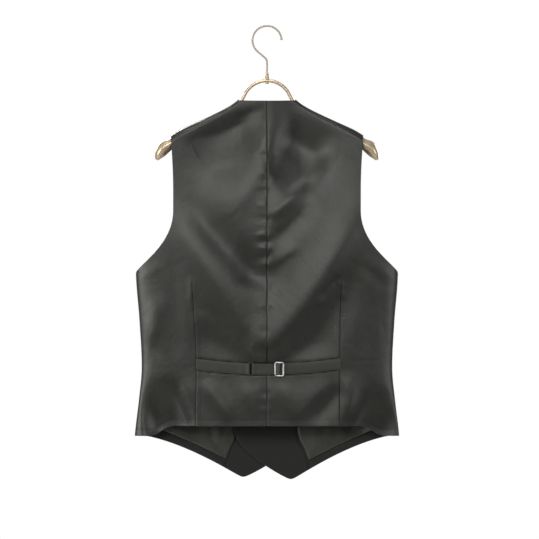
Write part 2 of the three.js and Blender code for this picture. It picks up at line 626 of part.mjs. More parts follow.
// A flat frame cut from a plate, standing against the back: windows are given by their centres.
function frameOnBack(x, size, windows, thick, out, backs) {
  const shape = roundedRectangle(new THREE.Shape(), 0, size.width, size.height, size.corner);
  for (const w of windows) {
    shape.holes.push(roundedRectangle(new THREE.Path(), w.x, w.width, w.height, w.corner));
  }
  const geometry = new THREE.ExtrudeGeometry(shape, { depth: thick, bevelEnabled: false, curveSegments: 3 });
  geometry.rotateX(Math.PI / 2);
  geometry.translate(0, thick, 0);
  const z = strapZ(x);
  const left = depthOn(backs, x + size.width / 2, z);
  const right = depthOn(backs, x - size.width / 2, z);
  const rise = depthOn(backs, x, z + STRAP.width / 2) - depthOn(backs, x, z - STRAP.width / 2);
  geometry.rotateX(-Math.atan2(rise, STRAP.width));
  geometry.rotateZ(Math.atan2(left - right, size.width));
  geometry.translate(x, (left + right) / 2 + out, z);
  return geometry;
}

function ringGeometry(backs) {
  const corner = RING.bar;
  const size = { width: RING.width, height: RING.height, corner };
  const width = RING.width - 2 * RING.bar;
  const height = RING.height - 2 * RING.bar;
  const out = LAYER.low + LAYER.loop - RING.bar / 2;
  return frameOnBack(RING.x, size, [{ x: 0, width, height, corner: corner / 2 }], RING.bar, out, backs);
}

function buckleGeometry(backs) {
  const height = BUCKLE.height - 2 * BUCKLE.bar;
  const width = (BUCKLE.width - 2 * BUCKLE.bar - BUCKLE.centreBar) / 2;
  const offset = (width + BUCKLE.centreBar) / 2;
  const windows = [-offset, offset].map((x) => ({ x, width, height, corner: BUCKLE.corner / 4 }));
  return frameOnBack(BUCKLE.x, BUCKLE, windows, BUCKLE.thick, LAYER.frame, backs);
}

// A button: a turned disc with a raised lip, its axis along Y, clear of the cloth under it.
function buttonGeometry(x, z, front) {
  const half = BUTTON.thick / 2;
  const profile = [
    [0, -half],
    [BUTTON.radius - 1, -half],
    [BUTTON.radius, -half + 1],
    [BUTTON.radius, half - 0.8],
    [BUTTON.radius - 0.8, half],
    [BUTTON.radius - BUTTON.lip, half],
    [BUTTON.radius - BUTTON.lip - 1, half - BUTTON.dish],
    [0, half - BUTTON.dish],
  ].map(([r, y]) => new THREE.Vector2(r, y));
  const geometry = new THREE.LatheGeometry(profile, 20);
  geometry.rotateZ(Math.PI);
  let outermost = depthOn([front], x, z);
  for (let i = 0; i < 8; i += 1) {
    const angle = (i * Math.PI) / 4;
    const [dx, dz] = [BUTTON.radius * Math.cos(angle), BUTTON.radius * Math.sin(angle)];
    outermost = Math.min(outermost, depthOn([front], x + dx, z + dz));
  }
  geometry.translate(x, outermost - SEAM_GAP - half, z);
  return geometry;
}

// A closed bar through elliptical rings in the XZ plane. A ring leans out of the upright by tilt.
function barThrough(stations, sides) {
  const points = [];
  for (const s of stations) {
    const lean = radians(s.tilt);
    for (let i = 0; i < sides; i += 1) {
      const angle = (2 * Math.PI * i) / sides;
      const up = s.halfHeight * Math.cos(angle);
      const y = s.halfDepth * Math.sin(angle);
      points.push(new THREE.Vector3(s.x + up * Math.sin(lean), y, s.z + up * Math.cos(lean)));
    }
  }
  const triangles = [];
  for (let ring = 0; ring < stations.length - 1; ring += 1) {
    for (let i = 0; i < sides; i += 1) {
      const next = (i + 1) % sides;
      const [a, b] = [ring * sides, (ring + 1) * sides];
      triangles.push(...cellTriangles(a + i, a + next, b + next, b + i));
    }
  }
  const lastRing = (stations.length - 1) * sides;
  for (let i = 1; i < sides - 1; i += 1) {
    triangles.push([0, i + 1, i]);
    triangles.push([lastRing, lastRing + i, lastRing + i + 1]);
  }
  return closedGeometry(points, triangles);
}

function hangerBarGeometry() {
  const half = [];
  for (let i = 0; i <= ARCH.steps; i += 1) {
    const tilt = (ARCH.legAngle * i) / ARCH.steps;
    const x = ARCH.radius * Math.sin(radians(tilt));
    const z = ARCH.topZ - ARCH.radius * (1 - Math.cos(radians(tilt)));
    half.push({ x, z, tilt, halfDepth: ARCH.tube, halfHeight: ARCH.tube });
  }
  half.push(...LEG);
  half.push(...ARM.map((s) => ({ ...s, z: ridge(s.x) - rollHeight(s.x), tilt: 0 })));
  half.push(...ARM_TIP);
  const mirrored = half.slice(1).map((s) => ({ ...s, x: -s.x, tilt: -s.tilt }));
  return barThrough([...mirrored.reverse(), ...half], ARM_SIDES);
}

// The hook's wire: a ball at its tip, round over the rail and back down to the stem.
function hookGeometry() {
  const centreZ = HOOK.wire - HOOK.radius;
  const onCircle = (angle) => ({
    x: HOOK.radius * Math.cos(radians(angle)),
    z: centreZ + HOOK.radius * Math.sin(radians(angle)),
    radius: HOOK.wire,
  });
  const route = [];
  for (let i = 0; i <= HOOK.steps; i += 1) {
    route.push(onCircle(mix(HOOK.tipAngle, HOOK.bendAngle, i / HOOK.steps)));
  }
  route.push(...HOOK_STEM.map((p) => ({ ...p, radius: HOOK.wire })));
  const ball = [];
  const tip = route[0];
  const seat = Math.sqrt(HOOK_BALL.radius ** 2 - HOOK.wire ** 2);
  for (let i = 0; i < HOOK_BALL.steps; i += 1) {
    const away = mix(HOOK_BALL.radius * 0.96, -seat * 0.5, i / (HOOK_BALL.steps - 1)) + seat;
    const radius = Math.sqrt(HOOK_BALL.radius ** 2 - (away - seat) ** 2);
    const back = (away / HOOK.radius) * degrees(1);
    ball.push({ ...onCircle(HOOK.tipAngle + back), radius });
  }
  const stations = [...ball, tip, ...route.slice(1)];
  return barThrough(
    stations.map((s, i) => {
      const before = stations[Math.max(0, i - 1)];
      const after = stations[Math.min(stations.length - 1, i + 1)];
      const tilt = degrees(Math.atan2(before.z - after.z, after.x - before.x));
      return { x: s.x, z: s.z, tilt, halfDepth: s.radius, halfHeight: s.radius };
    }),
    HOOK.sides,
  );
}

// The cone that the stem passes through, on top of the arch, and the nut below it.
function ferruleGeometry() {
  const bore = HOOK.wire + SEAM_GAP;
  const profile = [
    [bore, FERRULE.baseZ],
    [FERRULE.base, FERRULE.baseZ],
    [FERRULE.base, FERRULE.baseZ + 1.4],
    [FERRULE.top, FERRULE.topZ],
    [bore, FERRULE.topZ],
    [bore, FERRULE.baseZ],
  ].map(([r, z]) => new THREE.Vector2(r, z));
  return new THREE.LatheGeometry(profile, 20).rotateX(Math.PI / 2);
}

function nutGeometry() {
  const geometry = new THREE.CylinderGeometry(NUT.radius, NUT.radius, NUT.height, 20);
  geometry.rotateX(Math.PI / 2);
  geometry.translate(0, 0, ARCH.topZ - ARCH.tube - SEAM_GAP - NUT.height / 2);
  return geometry;
}

const part = new THREE.Group();

function add(name, geometry, material) {
  const mesh = new THREE.Mesh(geometry, new THREE.MeshStandardMaterial(MATERIAL[material]));
  mesh.name = name;
  part.add(mesh);
}

const SIDES = [
  { name: "left", side: 1 },
  { name: "right", side: -1 },
];

// The satin back.
const backPlaces = SIDES.map(({ side }) => backGrid(side));
const backs = backPlaces.map((grid) => movedIn(grid, 0));
SIDES.forEach(({ name }, i) => {
  add(`back_${name}`, wallBetween(backs[i], movedIn(backPlaces[i], BACK_WALL)), "satin");
});

// Each wool front, and the three pieces that line it, made from the front's own points.
const frontPlaces = SIDES.map(({ side }) => frontGrid(side));
const leftFront = movedIn(frontPlaces[0], 0);
SIDES.forEach(({ name }, i) => {
  const places = frontPlaces[i];
  add(`front_${name}`, wallBetween(movedIn(places, 0), movedIn(places, FRONT_WALL)), "wool");
  const face = movedIn(places, FRONT_WALL + SEAM_GAP);
  const back = movedIn(places, FRONT_WALL + SEAM_GAP + INNER_WALL);
  const [start, hem, end] = [0, FRONT_HEM_ROW, FRONT_HEM_ROW + 1];
  const [seam, edge] = [FRONT_GRID.lining, FRONT_GRID.lining + FRONT_GRID.facing];
  const both = { front: true, bottom: true };
  const pieces = [
    { piece: "facing", rows: [start, end], columns: [seam, edge], pull: { side: true }, cloth: "wool" },
    { piece: "hem_band", rows: [hem, end], columns: [0, seam], pull: { front: true }, cloth: "wool" },
    { piece: "lining", rows: [start, hem], columns: [0, seam], pull: both, cloth: "satin" },
  ];
  for (const { piece, rows, columns, pull, cloth } of pieces) {
    const geometry = wallBetween(patch(face, rows, columns, pull), patch(back, rows, columns, pull));
    add(`${piece}_${name}`, geometry, cloth);
  }
});

// The waist straps and their metal.
add("strap_left", strapWall(leftStrapPath(), backs), "satin");
add("strap_right", strapWall(rightStrapPath(), backs), "satin");
add("strap_ring", ringGeometry(backs), "ringMetal");
add("strap_buckle", buckleGeometry(backs), "buckleMetal");

// The buttons of the left front.
let buttonNumber = 0;
for (const z of BUTTON.rows) {
  for (const x of [BUTTON.column, -BUTTON.column]) {
    buttonNumber += 1;
    add(`button_${buttonNumber}`, buttonGeometry(x, z, leftFront), "button");
  }
}

// The hanger.
add("hanger_bar", hangerBarGeometry(), "hangerGold");
add("hanger_hook", hookGeometry(), "hookMetal");
add("hanger_ferrule", ferruleGeometry(), "hangerGold");
add("hanger_nut", nutGeometry(), "hangerGold");

export default part;
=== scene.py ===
"""A double-breasted suit waistcoat hanging on a shaped hanger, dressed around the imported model."""
import math

import bpy
import numpy as np
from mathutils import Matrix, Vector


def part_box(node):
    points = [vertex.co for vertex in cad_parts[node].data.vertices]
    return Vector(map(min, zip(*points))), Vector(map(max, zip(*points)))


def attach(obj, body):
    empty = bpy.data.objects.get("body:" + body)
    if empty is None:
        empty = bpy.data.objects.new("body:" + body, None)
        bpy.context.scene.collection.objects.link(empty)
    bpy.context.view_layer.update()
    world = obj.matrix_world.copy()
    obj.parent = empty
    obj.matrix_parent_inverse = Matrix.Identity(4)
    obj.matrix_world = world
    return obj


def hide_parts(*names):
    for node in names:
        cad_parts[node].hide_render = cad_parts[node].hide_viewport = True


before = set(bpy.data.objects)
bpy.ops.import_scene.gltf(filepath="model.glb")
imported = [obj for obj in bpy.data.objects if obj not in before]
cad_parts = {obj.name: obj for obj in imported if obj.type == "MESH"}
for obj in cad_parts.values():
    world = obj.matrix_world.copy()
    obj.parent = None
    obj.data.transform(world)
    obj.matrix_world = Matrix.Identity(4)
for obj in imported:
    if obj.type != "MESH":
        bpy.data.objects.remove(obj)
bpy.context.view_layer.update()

MM = 0.001

# Every size below is in millimetres, in the frame of the model: +X is the wearer's left, -Y the
# wearer's front, +Z up, and the origin is inside the top of the hook.


def table(names, rows):
    """A short table as one array for each named column."""
    return dict(zip(names.split(), np.array(rows, float).T))


# Cloth
SEAM_GAP = 0.3
BACK_WALL = 1.0
FRONT_WALL = 1.5
INNER_WALL = 0.9
CLOTH_LIFT = 3.75

# Neck, shoulder line and the roll of cloth over the hanger
NECK = dict(half=52, z=-131, dip=1.0, depth=20, rise_inside=0.5)
SHOULDER = dict(slope=0.45, ease=7, ease_run=14, end_from=150, end_drop=3, end_run=24)
SHOULDER_SEAM = 6
SETTLE = dict(start=28, run=160)

# Armholes
ARMHOLE = dict(half=169, flare=5, flare_from=-300, flare_run=103, curve_from=-330, power=2.05)
FRONT_ARMHOLE_CUT = dict(inwards=8, from_z=-200, run=90)
UNDERARM = dict(z=-445, half=236.5)

# The body's flattened oval
ROUNDNESS = 2.5
SIDE_SEAM = 97
SIDE_SEAM_HALF_GAP = 0.2
LEVELS = table("z half back front", [
    (-132, 236.5, 22, 20),
    (-300, 236.5, 32, 31),
    (-445, 236.5, 37, 38),
    (-530, 230, 35, 37),
    (-615, 226, 31, 35),
    (-672, 231, 31, 36),
    (-720, 236.8, 31.5, 37),
    (-740, 238.5, 32, 37),
    (-820, 238.5, 33, 37),
])

# Hems and front edges
BACK_HEM = dict(z=-719, side_drop=18, drop_from=168, drop_to=212)
FRONT_HEM = dict(side_z=-735, power=1.5, body_end_z=-665)
HEM_TURN_UP = 20
LAP = dict(half=60, shift=2.1, blend=60, start_z=-180, full_z=-300)
LAP_CORNER = dict(x=-60, z=-460)
CUTAWAY = dict(from_z=-720, pull_z=-765, tip_x=43.5, hem_share=0.94)
TIP_Z = {1: -815, -1: -819}
POINT = dict(slope=0.5, radius=5, height=12)  # how the fronts' points are rounded
NECKLINE_BOW = 16
FACING_EDGE = table("z x", [
    (-132, 100), (-300, 74), (-460, 53), (-720, 49), (-745, 53), (-765, 63), (-790, 71.5), (-830, 80),
])

# Soft folds between two points of a face: a ridge where height is positive, or else a trough. left
# and right are the widths of its two sides as seen from behind, and bow bends its middle leftwards.
FOLD_COLUMNS = "x0 z0 x1 z1 left right height bow"
FOLD_END = 0.95
BACK_FOLDS = table(FOLD_COLUMNS, [
    (10, -156, 126, -212, 17, 40, -6.5, 0),
    (96, -282, 26, -298, 42, 46, 3.0, 0),
    (134, -322, -4, -474, 22, 30, -7.0, 6),
    (50, -448, -28, -450, 18, 52, -6.0, 0),
    (160, -370, 18, -590, 26, 34, 6.0, -10),
    (118, -545, 50, -612, 30, 30, -3.0, 0),
    (30, -584, -30, -590, 18, 60, 4.0, 0),
    (-24, -207, -104, -242, 60, 37, -12.5, 0),
    (-156, -350, -6, -578, 34, 24, 9.0, -10),
    (-160, -440, -50, -612, 26, 40, -6.0, -6),
    (140, -712, 210, -728, 60, 30, -20.0, 0),
    (-152, -722, -228, -742, 30, 56, -18.0, 0),
    (112, -640, 66, -702, 15, 18, 3.5, 0),
    (-112, -636, -48, -702, 30, 14, 2.2, 0),
    (-134, -652, -86, -708, 14, 18, -3.0, 0),
    (147, -640, 150, -712, 10, 16, 2.0, 0),
    (-144, -625, -150, -708, 14, 18, 4.0, 0),
])
FRONT_FOLDS = table(FOLD_COLUMNS, [
    (150, -300, 70, -470, 26, 26, -3.0, 0),
    (-148, -320, -74, -500, 26, 26, -3.0, 0),
    (175, -520, 90, -650, 24, 24, 2.5, 0),
    (-170, -500, -96, -640, 24, 24, 2.5, 0),
])
LINING_FOLDS = table(FOLD_COLUMNS, [
    (112, -620, 101, -775, 26, 13, 6.0, 0),
    (72, -690, 67, -775, 10, 10, 3.4, 0),
    (172, -640, 158, -740, 20, 20, 4.0, 0),
    (140, -480, 120, -600, 22, 22, 3.0, 0),
    (-90, -620, -97, -775, 26, 22, 6.0, 0),
    (-188, -650, -184, -745, 22, 14, 5.0, 0),
    (-140, -690, -134, -760, 12, 10, 2.4, 0),
    (-150, -470, -120, -610, 22, 22, 3.0, 0),
])
STRAP_CALM = dict(z=-613, run=26, share=0.9)
FOLD_FADE = dict(lens=0.7, seam_lens=0.5, start_below=4, run=30)

# Finer creases of the satin back, in the same columns
FINE_CREASES = table(FOLD_COLUMNS, [
    (-70, -280, -2, -344, 12, 12, 3.2, -3),
    (-76, -322, -12, -388, 14, 20, -3.2, -3),
    (-50, -398, -6, -430, 12, 9, 1.6, 0),
    (-4, -224, -50, -246, 16, 20, 1.2, 0),
    (-14, -268, -60, -286, 20, 24, -1.5, 0),
    (56, -664, -50, -660, 34, 26, 2.2, 0),
    (-126, -452, -96, -490, 7, 8, -1.8, 0),
    (138, -456, 138, -502, 4, 6, 1.2, 0),
    (-134, -460, -134, -492, 4, 6, 1.0, 0),
    (10, -158, 96, -184, 7, 7, 0.8, 0),
    (-122, -462, -94, -502, 9, 9, 1.0, 0),
    (120, -504, 26, -588, 9, 14, -0.9, -4),
    (172, -430, 160, -592, 16, 16, -2.5, 0),
    (196, -492, 208, -560, 18, 14, 2.6, 0),
    (206, -575, 190, -604, 8, 8, -1.2, 0),
    (-206, -470, -214, -590, 9, 9, -0.8, 0),
    (-190, -480, -176, -590, 16, 16, -1.6, 0),
    (100, -646, 60, -700, 8, 8, -0.8, 0),
    (40, -640, 24, -700, 10, 10, 0.9, 0),
    (-30, -640, -44, -700, 10, 10, 0.8, 0),
    (134, -611, 206, -616, 2.5, 3.5, -0.7, 0),
    (-136, -604, -206, -600, 3.5, 2.5, -0.7, 0),
    (192, -428, 230, -456, 9, 9, 0.8, 0),
    (-192, -424, -231, -456, 9, 9, 1.0, 0),
    (-172, -430, -214, -470, 9, 8, -0.8, 0),
])

# Puckers along the centre-back seam: how far each reaches to either side, how tall it is, and its
# height as a share of the one given here. None of them lifts the seam itself.
PUCKER = dict(height=1.6, centre=0.25, flat_at_seam=1.5)
PUCKERS = table("z left right tall height", [
    (-186, 10, 5, 6, 0.5),
    (-233, 13, 10, 7, -1.0),
    (-262, 12, 6, 6, 0.8),
    (-278, 11, 5, 5, -0.7),
    (-297, 14, 7, 7, -1.0),
    (-322, 13, 5, 6, 0.7),
    (-346, 14, 7, 8, -0.9),
    (-375, 13, 4, 5, 1.1),
    (-387, 12, 4, 4, -0.7),
    (-400, 15, 5, 5, 1.2),
    (-414, 13, 5, 5, -0.8),
    (-429, 13, 5, 5, 1.0),
    (-470, 10, 5, 8, -0.5),
    (-502, 10, 6, 6, 0.5),
    (-548, 9, 5, 7, -0.5),
    (-660, 9, 6, 6, -0.5),
    (-690, 9, 6, 6, 0.5),
])

# Long darts of the back: their distance from the centre, and the groove that the stitching draws in
DART_LEFT = table("z x", [(-420, 136), (-458, 135), (-597, 127), (-716, 128.7), (-760, 129)])
DART_RIGHT = table("z x", [(-420, 133), (-458, 133), (-597, 130.5), (-716, 130.5), (-760, 130.5)])
# shade, here and in PANEL_HEM, is the gloss the satin loses along the stitched line: partly duller
# stitching, partly painted shade in its groove
DART = dict(start_z=-452, run=16, groove=0.7, half=0.9, shade=0.85)
DART_FOLD = dict(height=0.4, width=8, edge=1.4, drop=0.8)
CENTRE_SEAM = dict(groove=0.9, half=0.9, valley=0.5, valley_half=7)
PANEL_HEM = dict(width=12, line=0.12, half=1.2, shade=0.25, swell=0.15)

# Waist straps, ring and buckle. The straps press a crease into the back beside each edge, and painted shade
# takes the satin's gloss away there.
STRAP = dict(width=19.6, wall=0.9, lift=0.55, end_z=-608, sag=9, half=127, right_end=133)
STRAP_EDGE = dict(out=0.6, half=1.3, groove=0.5, shade=0.8, fade=6)
STRAP_STITCH = dict(at=0.415, half=0.022, depth=0.16)  # shares of the strap's width, and mm
STRAP_ROLL = dict(at=0.44, run=0.06, depth=0.3)
STRAP_DIP = 0.4  # how far a strap sinks where it is sewn into the dart
RING = dict(x=29, width=9.2, height=23.4, wire=1.5, corner=1.2)
# Painted shadow: the gloss taken from the back's satin inside the ring, between the straps' loops
RING_SHADOW = dict(half=2.6, fade=2)
LEFT_TURN_BACK = 46
BUCKLE = dict(x=-22, width=17, height=26, bar=2.1, centre_bar=1.8, thick=1.6, corner=2.6)

BUTTON = dict(radius=7.5, thick=3, count=6)

# Hanger
ARCH = dict(radius=45, top_z=-97, tube=3.1, leg_angle=58)
LEG = table("x z tilt depth height", [
    (44, -129.5, 60, 3.2, 3.1),
    (49.5, -138.6, 42, 3.5, 3.2),
])
ARM = table("x depth height", [
    (60, 4.6, 4.1), (63.5, 5.0, 4.3), (67, 5.4, 4.5), (75, 6.5, 5.0), (86, 8.1, 5.7), (100, 10.2, 6.6),
    (117, 12.8, 7.6), (134, 15.3, 8.5), (150, 17.2, 9.1), (160, 18.1, 9.4), (170, 18.8, 9.7),
])
ARM_TIP = table("x z tilt depth height", [
    (175.5, -212, 20, 19, 10),
    (185, -217.5, 38, 18.6, 12),
    (192.3, -227, 52, 16.6, 10),
    (197, -235, 60, 12, 6),
    (198.8, -240, 64, 6, 2.2),
])
ARM_SIDE_GAP = 1
HOOK = dict(wire=1.75, radius=26.2, tip_angle=174, bend_angle=-42)
HOOK_STEM = table("x z", [(14, -47.2), (6.2, -53.6), (1.2, -58.8), (0, -65.5), (0, -80), (0, -93)])
HOOK_BALL = 2.4
FERRULE = dict(base=4.6, top=2.7, base_z=-93.4, top_z=-83)
NUT = dict(radius=3.4, height=2.6)


def smooth(t):
    """Eases from 0 to 1: three t squared less two t cubed, held at both ends."""
    t = np.clip(t, 0, 1)
    return t * t * (3 - 2 * t)


def mix(a, b, t):
    """Straight between a and b."""
    return a + (b - a) * t


def bell(distance, width):
    """A bell curve: e to the minus of distance over width, squared."""
    return np.exp(-((distance / width) ** 2))


def through(rows, key, value, at):
    """A smooth curve through a table: a cubic between two rows, each row's slope being that between
    its neighbours, held at the ends."""
    keys, values = rows[key], rows[value]
    if keys[-1] < keys[0]:
        keys, values = keys[::-1], values[::-1]
    slopes = np.empty_like(values)
    slopes[1:-1] = (values[2:] - values[:-2]) / (keys[2:] - keys[:-2])
    slopes[0] = (values[1] - values[0]) / (keys[1] - keys[0])
    slopes[-1] = (values[-1] - values[-2]) / (keys[-1] - keys[-2])
    i = np.clip(np.searchsorted(keys, at, side="right") - 1, 0, len(keys) - 2)
    run = keys[i + 1] - keys[i]
    t = np.clip((at - keys[i]) / run, 0, 1)
    ends = mix(values[i], values[i + 1], t * t * (3 - 2 * t))
    return ends + run * (t * (1 - t) ** 2 * slopes[i] - t * t * (1 - t) * slopes[i + 1])


def settle(start, step, times=14):
    """Repeats a step until a height and a distance that depend on each other agree."""
    value = start
    for _ in range(times):
        value = step(value)
    return value


def ridge(x):
    """Height of the shoulder line: a slope, an ease beside the neck and a drop at the end."""
    out = x - NECK["half"]
    end = np.clip((x - SHOULDER["end_from"]) / SHOULDER["end_run"], 0, 1)
    ease = SHOULDER["ease"] * (1 - np.exp(-np.maximum(out, 0) / SHOULDER["ease_run"]))
    outside = NECK["z"] - SHOULDER["slope"] * out - ease - SHOULDER["end_drop"] * end**2
    return np.where(x < NECK["half"], NECK["z"] - NECK["rise_inside"] * out, outside)


def roll_height(x):
    """Half height of the roll of cloth over the hanger's arm."""
    return through(ARM, "x", "height", np.maximum(x, NECK["half"])) + CLOTH_LIFT


def roll_depth(x):
    """Half depth of that roll, easing to the neck's own depth at the centre."""
    over_arm = through(ARM, "x", "depth", np.maximum(x, NECK["half"])) + CLOTH_LIFT + ARM_SIDE_GAP
    return mix(NECK["depth"], over_arm, smooth(x / NECK["half"]))


def quarter_roll(x):
    """Length of cloth in a quarter of the roll."""
    return np.pi / 4 * (roll_height(x) + roll_depth(x))


def length_down(x, z):
    """Length of cloth from the shoulder line down to a height: round the roll, then straight."""
    below = ridge(x) - z
    height = roll_height(x)
    on_roll = np.arccos(np.clip(1 - below / height, -1, 1)) / (np.pi / 2) * quarter_roll(x)
    return np.where(below >= height, quarter_roll(x) + below - height, on_roll)


def drop_after(x, length):
    """How far below the shoulder line a length of cloth reaches."""
    quarter = quarter_roll(x)
    on_roll = roll_height(x) * (1 - np.cos(np.clip(length / quarter, 0, 1) * np.pi / 2))
    return np.where(length >= quarter, roll_height(x) + length - quarter, on_roll)


def half_width(z):
    """Half width of the body at a height."""
    return through(LEVELS, "z", "half", z)


def across_at(turn, z):
    """Distance from the centre line at an angle round the oval: half width times a power of sine."""
    s = np.sin(np.radians(turn))
    return np.sign(s) * half_width(z) * np.abs(s) ** (2 / ROUNDNESS)


def turn_at(x, z):
    """The angle round the oval, on the back, for a distance from the centre line."""
    return np.degrees(np.arcsin(np.clip(x / half_width(z), 0, 1) ** (ROUNDNESS / 2)))


def crease_sum(folds, x, z):
    """The sum of folds at each point. Each is a bell across its own bowed line, with its own width on
    either side, and dies away past both ends of the line."""
    total = np.zeros(np.broadcast(x, z).shape)
    for x0, z0, x1, z1, left, right, height, bow in zip(*folds.values()):
        dx, dz = x1 - x0, z1 - z0
        length = math.hypot(dx, dz)
        from_x, from_z = x - (x0 + x1) / 2, z - (z0 + z1) / 2
        along = (from_x * dx + from_z * dz) / (length * length / 2)
        across = (from_z * dx - from_x * dz) / length - bow * (1 - along**2)
        away = across / np.where(across > 0, left, right)
        total += height * np.exp(-(away**2) - (FOLD_END * along) ** 4)
    return total


def dart_x(side, z):
    """Distance of a back dart from the centre line."""
    return through(DART_LEFT if side > 0 else DART_RIGHT, "z", "x", z)


def strap_z(x):
    """Height of the straps' middle line, which sags between the darts."""
    return STRAP["end_z"] - STRAP["sag"] * (1 - (x / STRAP["half"]) ** 2)


def strap_edges(x, z):
    """How close a place of the back is to an edge of the straps above it, from 0 to 1: a bell at
    each edge, which ends at the darts."""
    away = np.abs(np.abs(z - strap_z(x)) - STRAP["width"] / 2 - STRAP_EDGE["out"])
    return bell(away, STRAP_EDGE["half"]) * smooth((STRAP["right_end"] - np.abs(x)) / STRAP_EDGE["fade"])


def dull_seams_and_painted_shade(side, own, z):
    """Gloss taken from a back panel's satin, from 0 to 1. It is the greatest of a bell at the centre
    seam, one at the dart and one at the top of the turned-up hem, which are partly duller stitching
    and partly painted shade in the groove, painted shade beside the straps' edges, and a painted
    shadow inside the ring."""
    below = smooth((DART["start_z"] - z) / DART["run"])
    dart = DART["shade"] * below * bell(own - dart_x(side, z), DART["half"])
    hem = PANEL_HEM["shade"] * bell(z - back_hem_z(own) - PANEL_HEM["width"], PANEL_HEM["half"])
    # Painted shade beside the straps' edges
    edges = STRAP_EDGE["shade"] * strap_edges(side * own, z)
    from_edge = STRAP["width"] / 2 - np.abs(z - strap_z(own))
    # Painted shadow inside the ring
    painted_ring_shadow = bell(side * own - RING["x"], RING_SHADOW["half"]) * smooth(from_edge / RING_SHADOW["fade"])
    return np.maximum.reduce([bell(own, CENTRE_SEAM["half"]), dart, hem, edges, painted_ring_shadow])


def back_seams(side, own, z):
    """Relief that sewing gives a back panel: the centre seam's groove in a soft valley with its
    puckers, the dart's groove with the pressed fold beside it, and the hem's turned-up edge."""
    x = side * own
    relief = -CENTRE_SEAM["groove"] * bell(own, CENTRE_SEAM["half"])
    relief -= CENTRE_SEAM["valley"] * bell(own, CENTRE_SEAM["valley_half"])
    for at_z, left, right, tall, height in zip(*PUCKERS.values()):
        reach = left if side > 0 else right
        off_seam = 1 - bell(own, PUCKER["flat_at_seam"])
        swell = bell(z - at_z, tall) * bell(own - PUCKER["centre"] * reach, reach)
        relief += PUCKER["height"] * height * swell * off_seam
    from_dart = own - dart_x(side, z)
    below = smooth((DART["start_z"] - z) / DART["run"])
    fold_edge = smooth((from_dart + DART_FOLD["width"]) / DART_FOLD["edge"])
    fold = DART_FOLD["height"] * fold_edge * (1 - smooth(from_dart / DART_FOLD["drop"]))
    relief += below * (fold - DART["groove"] * bell(from_dart, DART["half"]))
    relief -= STRAP_EDGE["groove"] * strap_edges(x, z)
    above_hem = z - back_hem_z(own)
    relief += PANEL_HEM["swell"] * smooth(1 - above_hem / PANEL_HEM["width"])
    relief -= PANEL_HEM["line"] * bell(above_hem - PANEL_HEM["width"], PANEL_HEM["half"])
    return relief


def skin_depth(side, own, z, turn, fine=True):
    """Distance of the outer skin from the middle plane: the roll over the arm, easing to the oval,
    and the folds on it, which the strap calms and the sides fade."""
    on_back = turn <= 90
    x = np.abs(own)
    below = ridge(x) - z
    height = roll_height(x)
    lens = np.abs(np.cos(np.radians(turn))) ** (2 / ROUNDNESS)
    full = np.where(on_back, through(LEVELS, "z", "back", z), through(LEVELS, "z", "front", z)) * lens
    turned = np.sqrt(1 - (1 - np.clip(below / height, 0, 1)) ** 2)
    settled = smooth((below - height - SETTLE["start"]) / SETTLE["run"])
    depth = roll_depth(x) * turned + (full - roll_depth(x)) * settled
    calm = 1 - STRAP_CALM["share"] * bell(z - STRAP_CALM["z"], STRAP_CALM["run"])
    fade = smooth(lens / FOLD_FADE["lens"]) * smooth((below - FOLD_FADE["start_below"]) / FOLD_FADE["run"])
    world_x = side * own
    back = calm * crease_sum(BACK_FOLDS, world_x, z)
    front = crease_sum(FRONT_FOLDS, world_x, z)
    if fine:
        back = back + calm * crease_sum(FINE_CREASES, world_x, z)
    depth = depth + np.where(on_back, back, front) * fade
    if fine:
        seams = np.where(on_back, back_seams(side, x, z), 0)
        depth = depth + seams * smooth(lens / FOLD_FADE["seam_lens"])
    return depth


def skin(side, turn, length, shift_at=None):
    """Points of the outer skin at an angle round the oval and a length from the shoulder line,
    which is negative on the far side of it."""
    behind = length < 0

    def z_at(x):
        return ridge(np.abs(x)) - drop_after(np.abs(x), np.abs(length))

    own = settle(np.full(turn.shape, float(NECK["half"])), lambda x: across_at(turn, z_at(x)))
    z = z_at(own)
    face_turn = np.where(behind, 180 - turn, turn)
    depth = skin_depth(side, own, z, face_turn)
    if shift_at is not None:
        depth = depth + shift_at(own, z)
    y = np.where(face_turn <= 90, depth, -depth)
    return np.stack([side * own, y, z], axis=-1)


def armhole_half(z, cut):
    """Half width of a panel at its armhole: straight down the blade, then a power curve out."""
    inner = ARMHOLE["half"] - cut * smooth((FRONT_ARMHOLE_CUT["from_z"] - z) / FRONT_ARMHOLE_CUT["run"])
    up = np.maximum(0, z - ARMHOLE["flare_from"]) / ARMHOLE["flare_run"]
    span = ARMHOLE["curve_from"] - UNDERARM["z"]
    down = np.clip((ARMHOLE["curve_from"] - z) / span, 0, 1)
    return mix(inner + ARMHOLE["flare"] * up**2, UNDERARM["half"], down ** ARMHOLE["power"])


def armhole_turn_on(z):
    """The last bend from the armhole on to the side seam, in degrees."""
    span = ARMHOLE["curve_from"] - UNDERARM["z"]
    return (SIDE_SEAM - 90) * np.clip((ARMHOLE["curve_from"] - z) / span, 0, 1) ** 3


def graded(length, coarse, start, end, growth=1.35):
    """Places from 0 to 1 along a length, in steps that grow from a fine one at each end."""
    def ramp(first):
        steps = []
        while first < coarse:
            steps.append(first)
            first *= growth
        return steps

    head, tail = ramp(start), ramp(end)
    middle = max(1, round((length - sum(head) - sum(tail)) / coarse))
    steps = np.array(head + [coarse] * middle + tail[::-1])
    return np.concatenate([[0], np.cumsum(steps) / steps.sum()])


def back_hem_z(x):
    """Height of the back hem: level, then a soft drop to the side seam."""
    drop = smooth((x - BACK_HEM["drop_from"]) / (BACK_HEM["drop_to"] - BACK_HEM["drop_from"]))
    return BACK_HEM["z"] - BACK_HEM["side_drop"] * drop


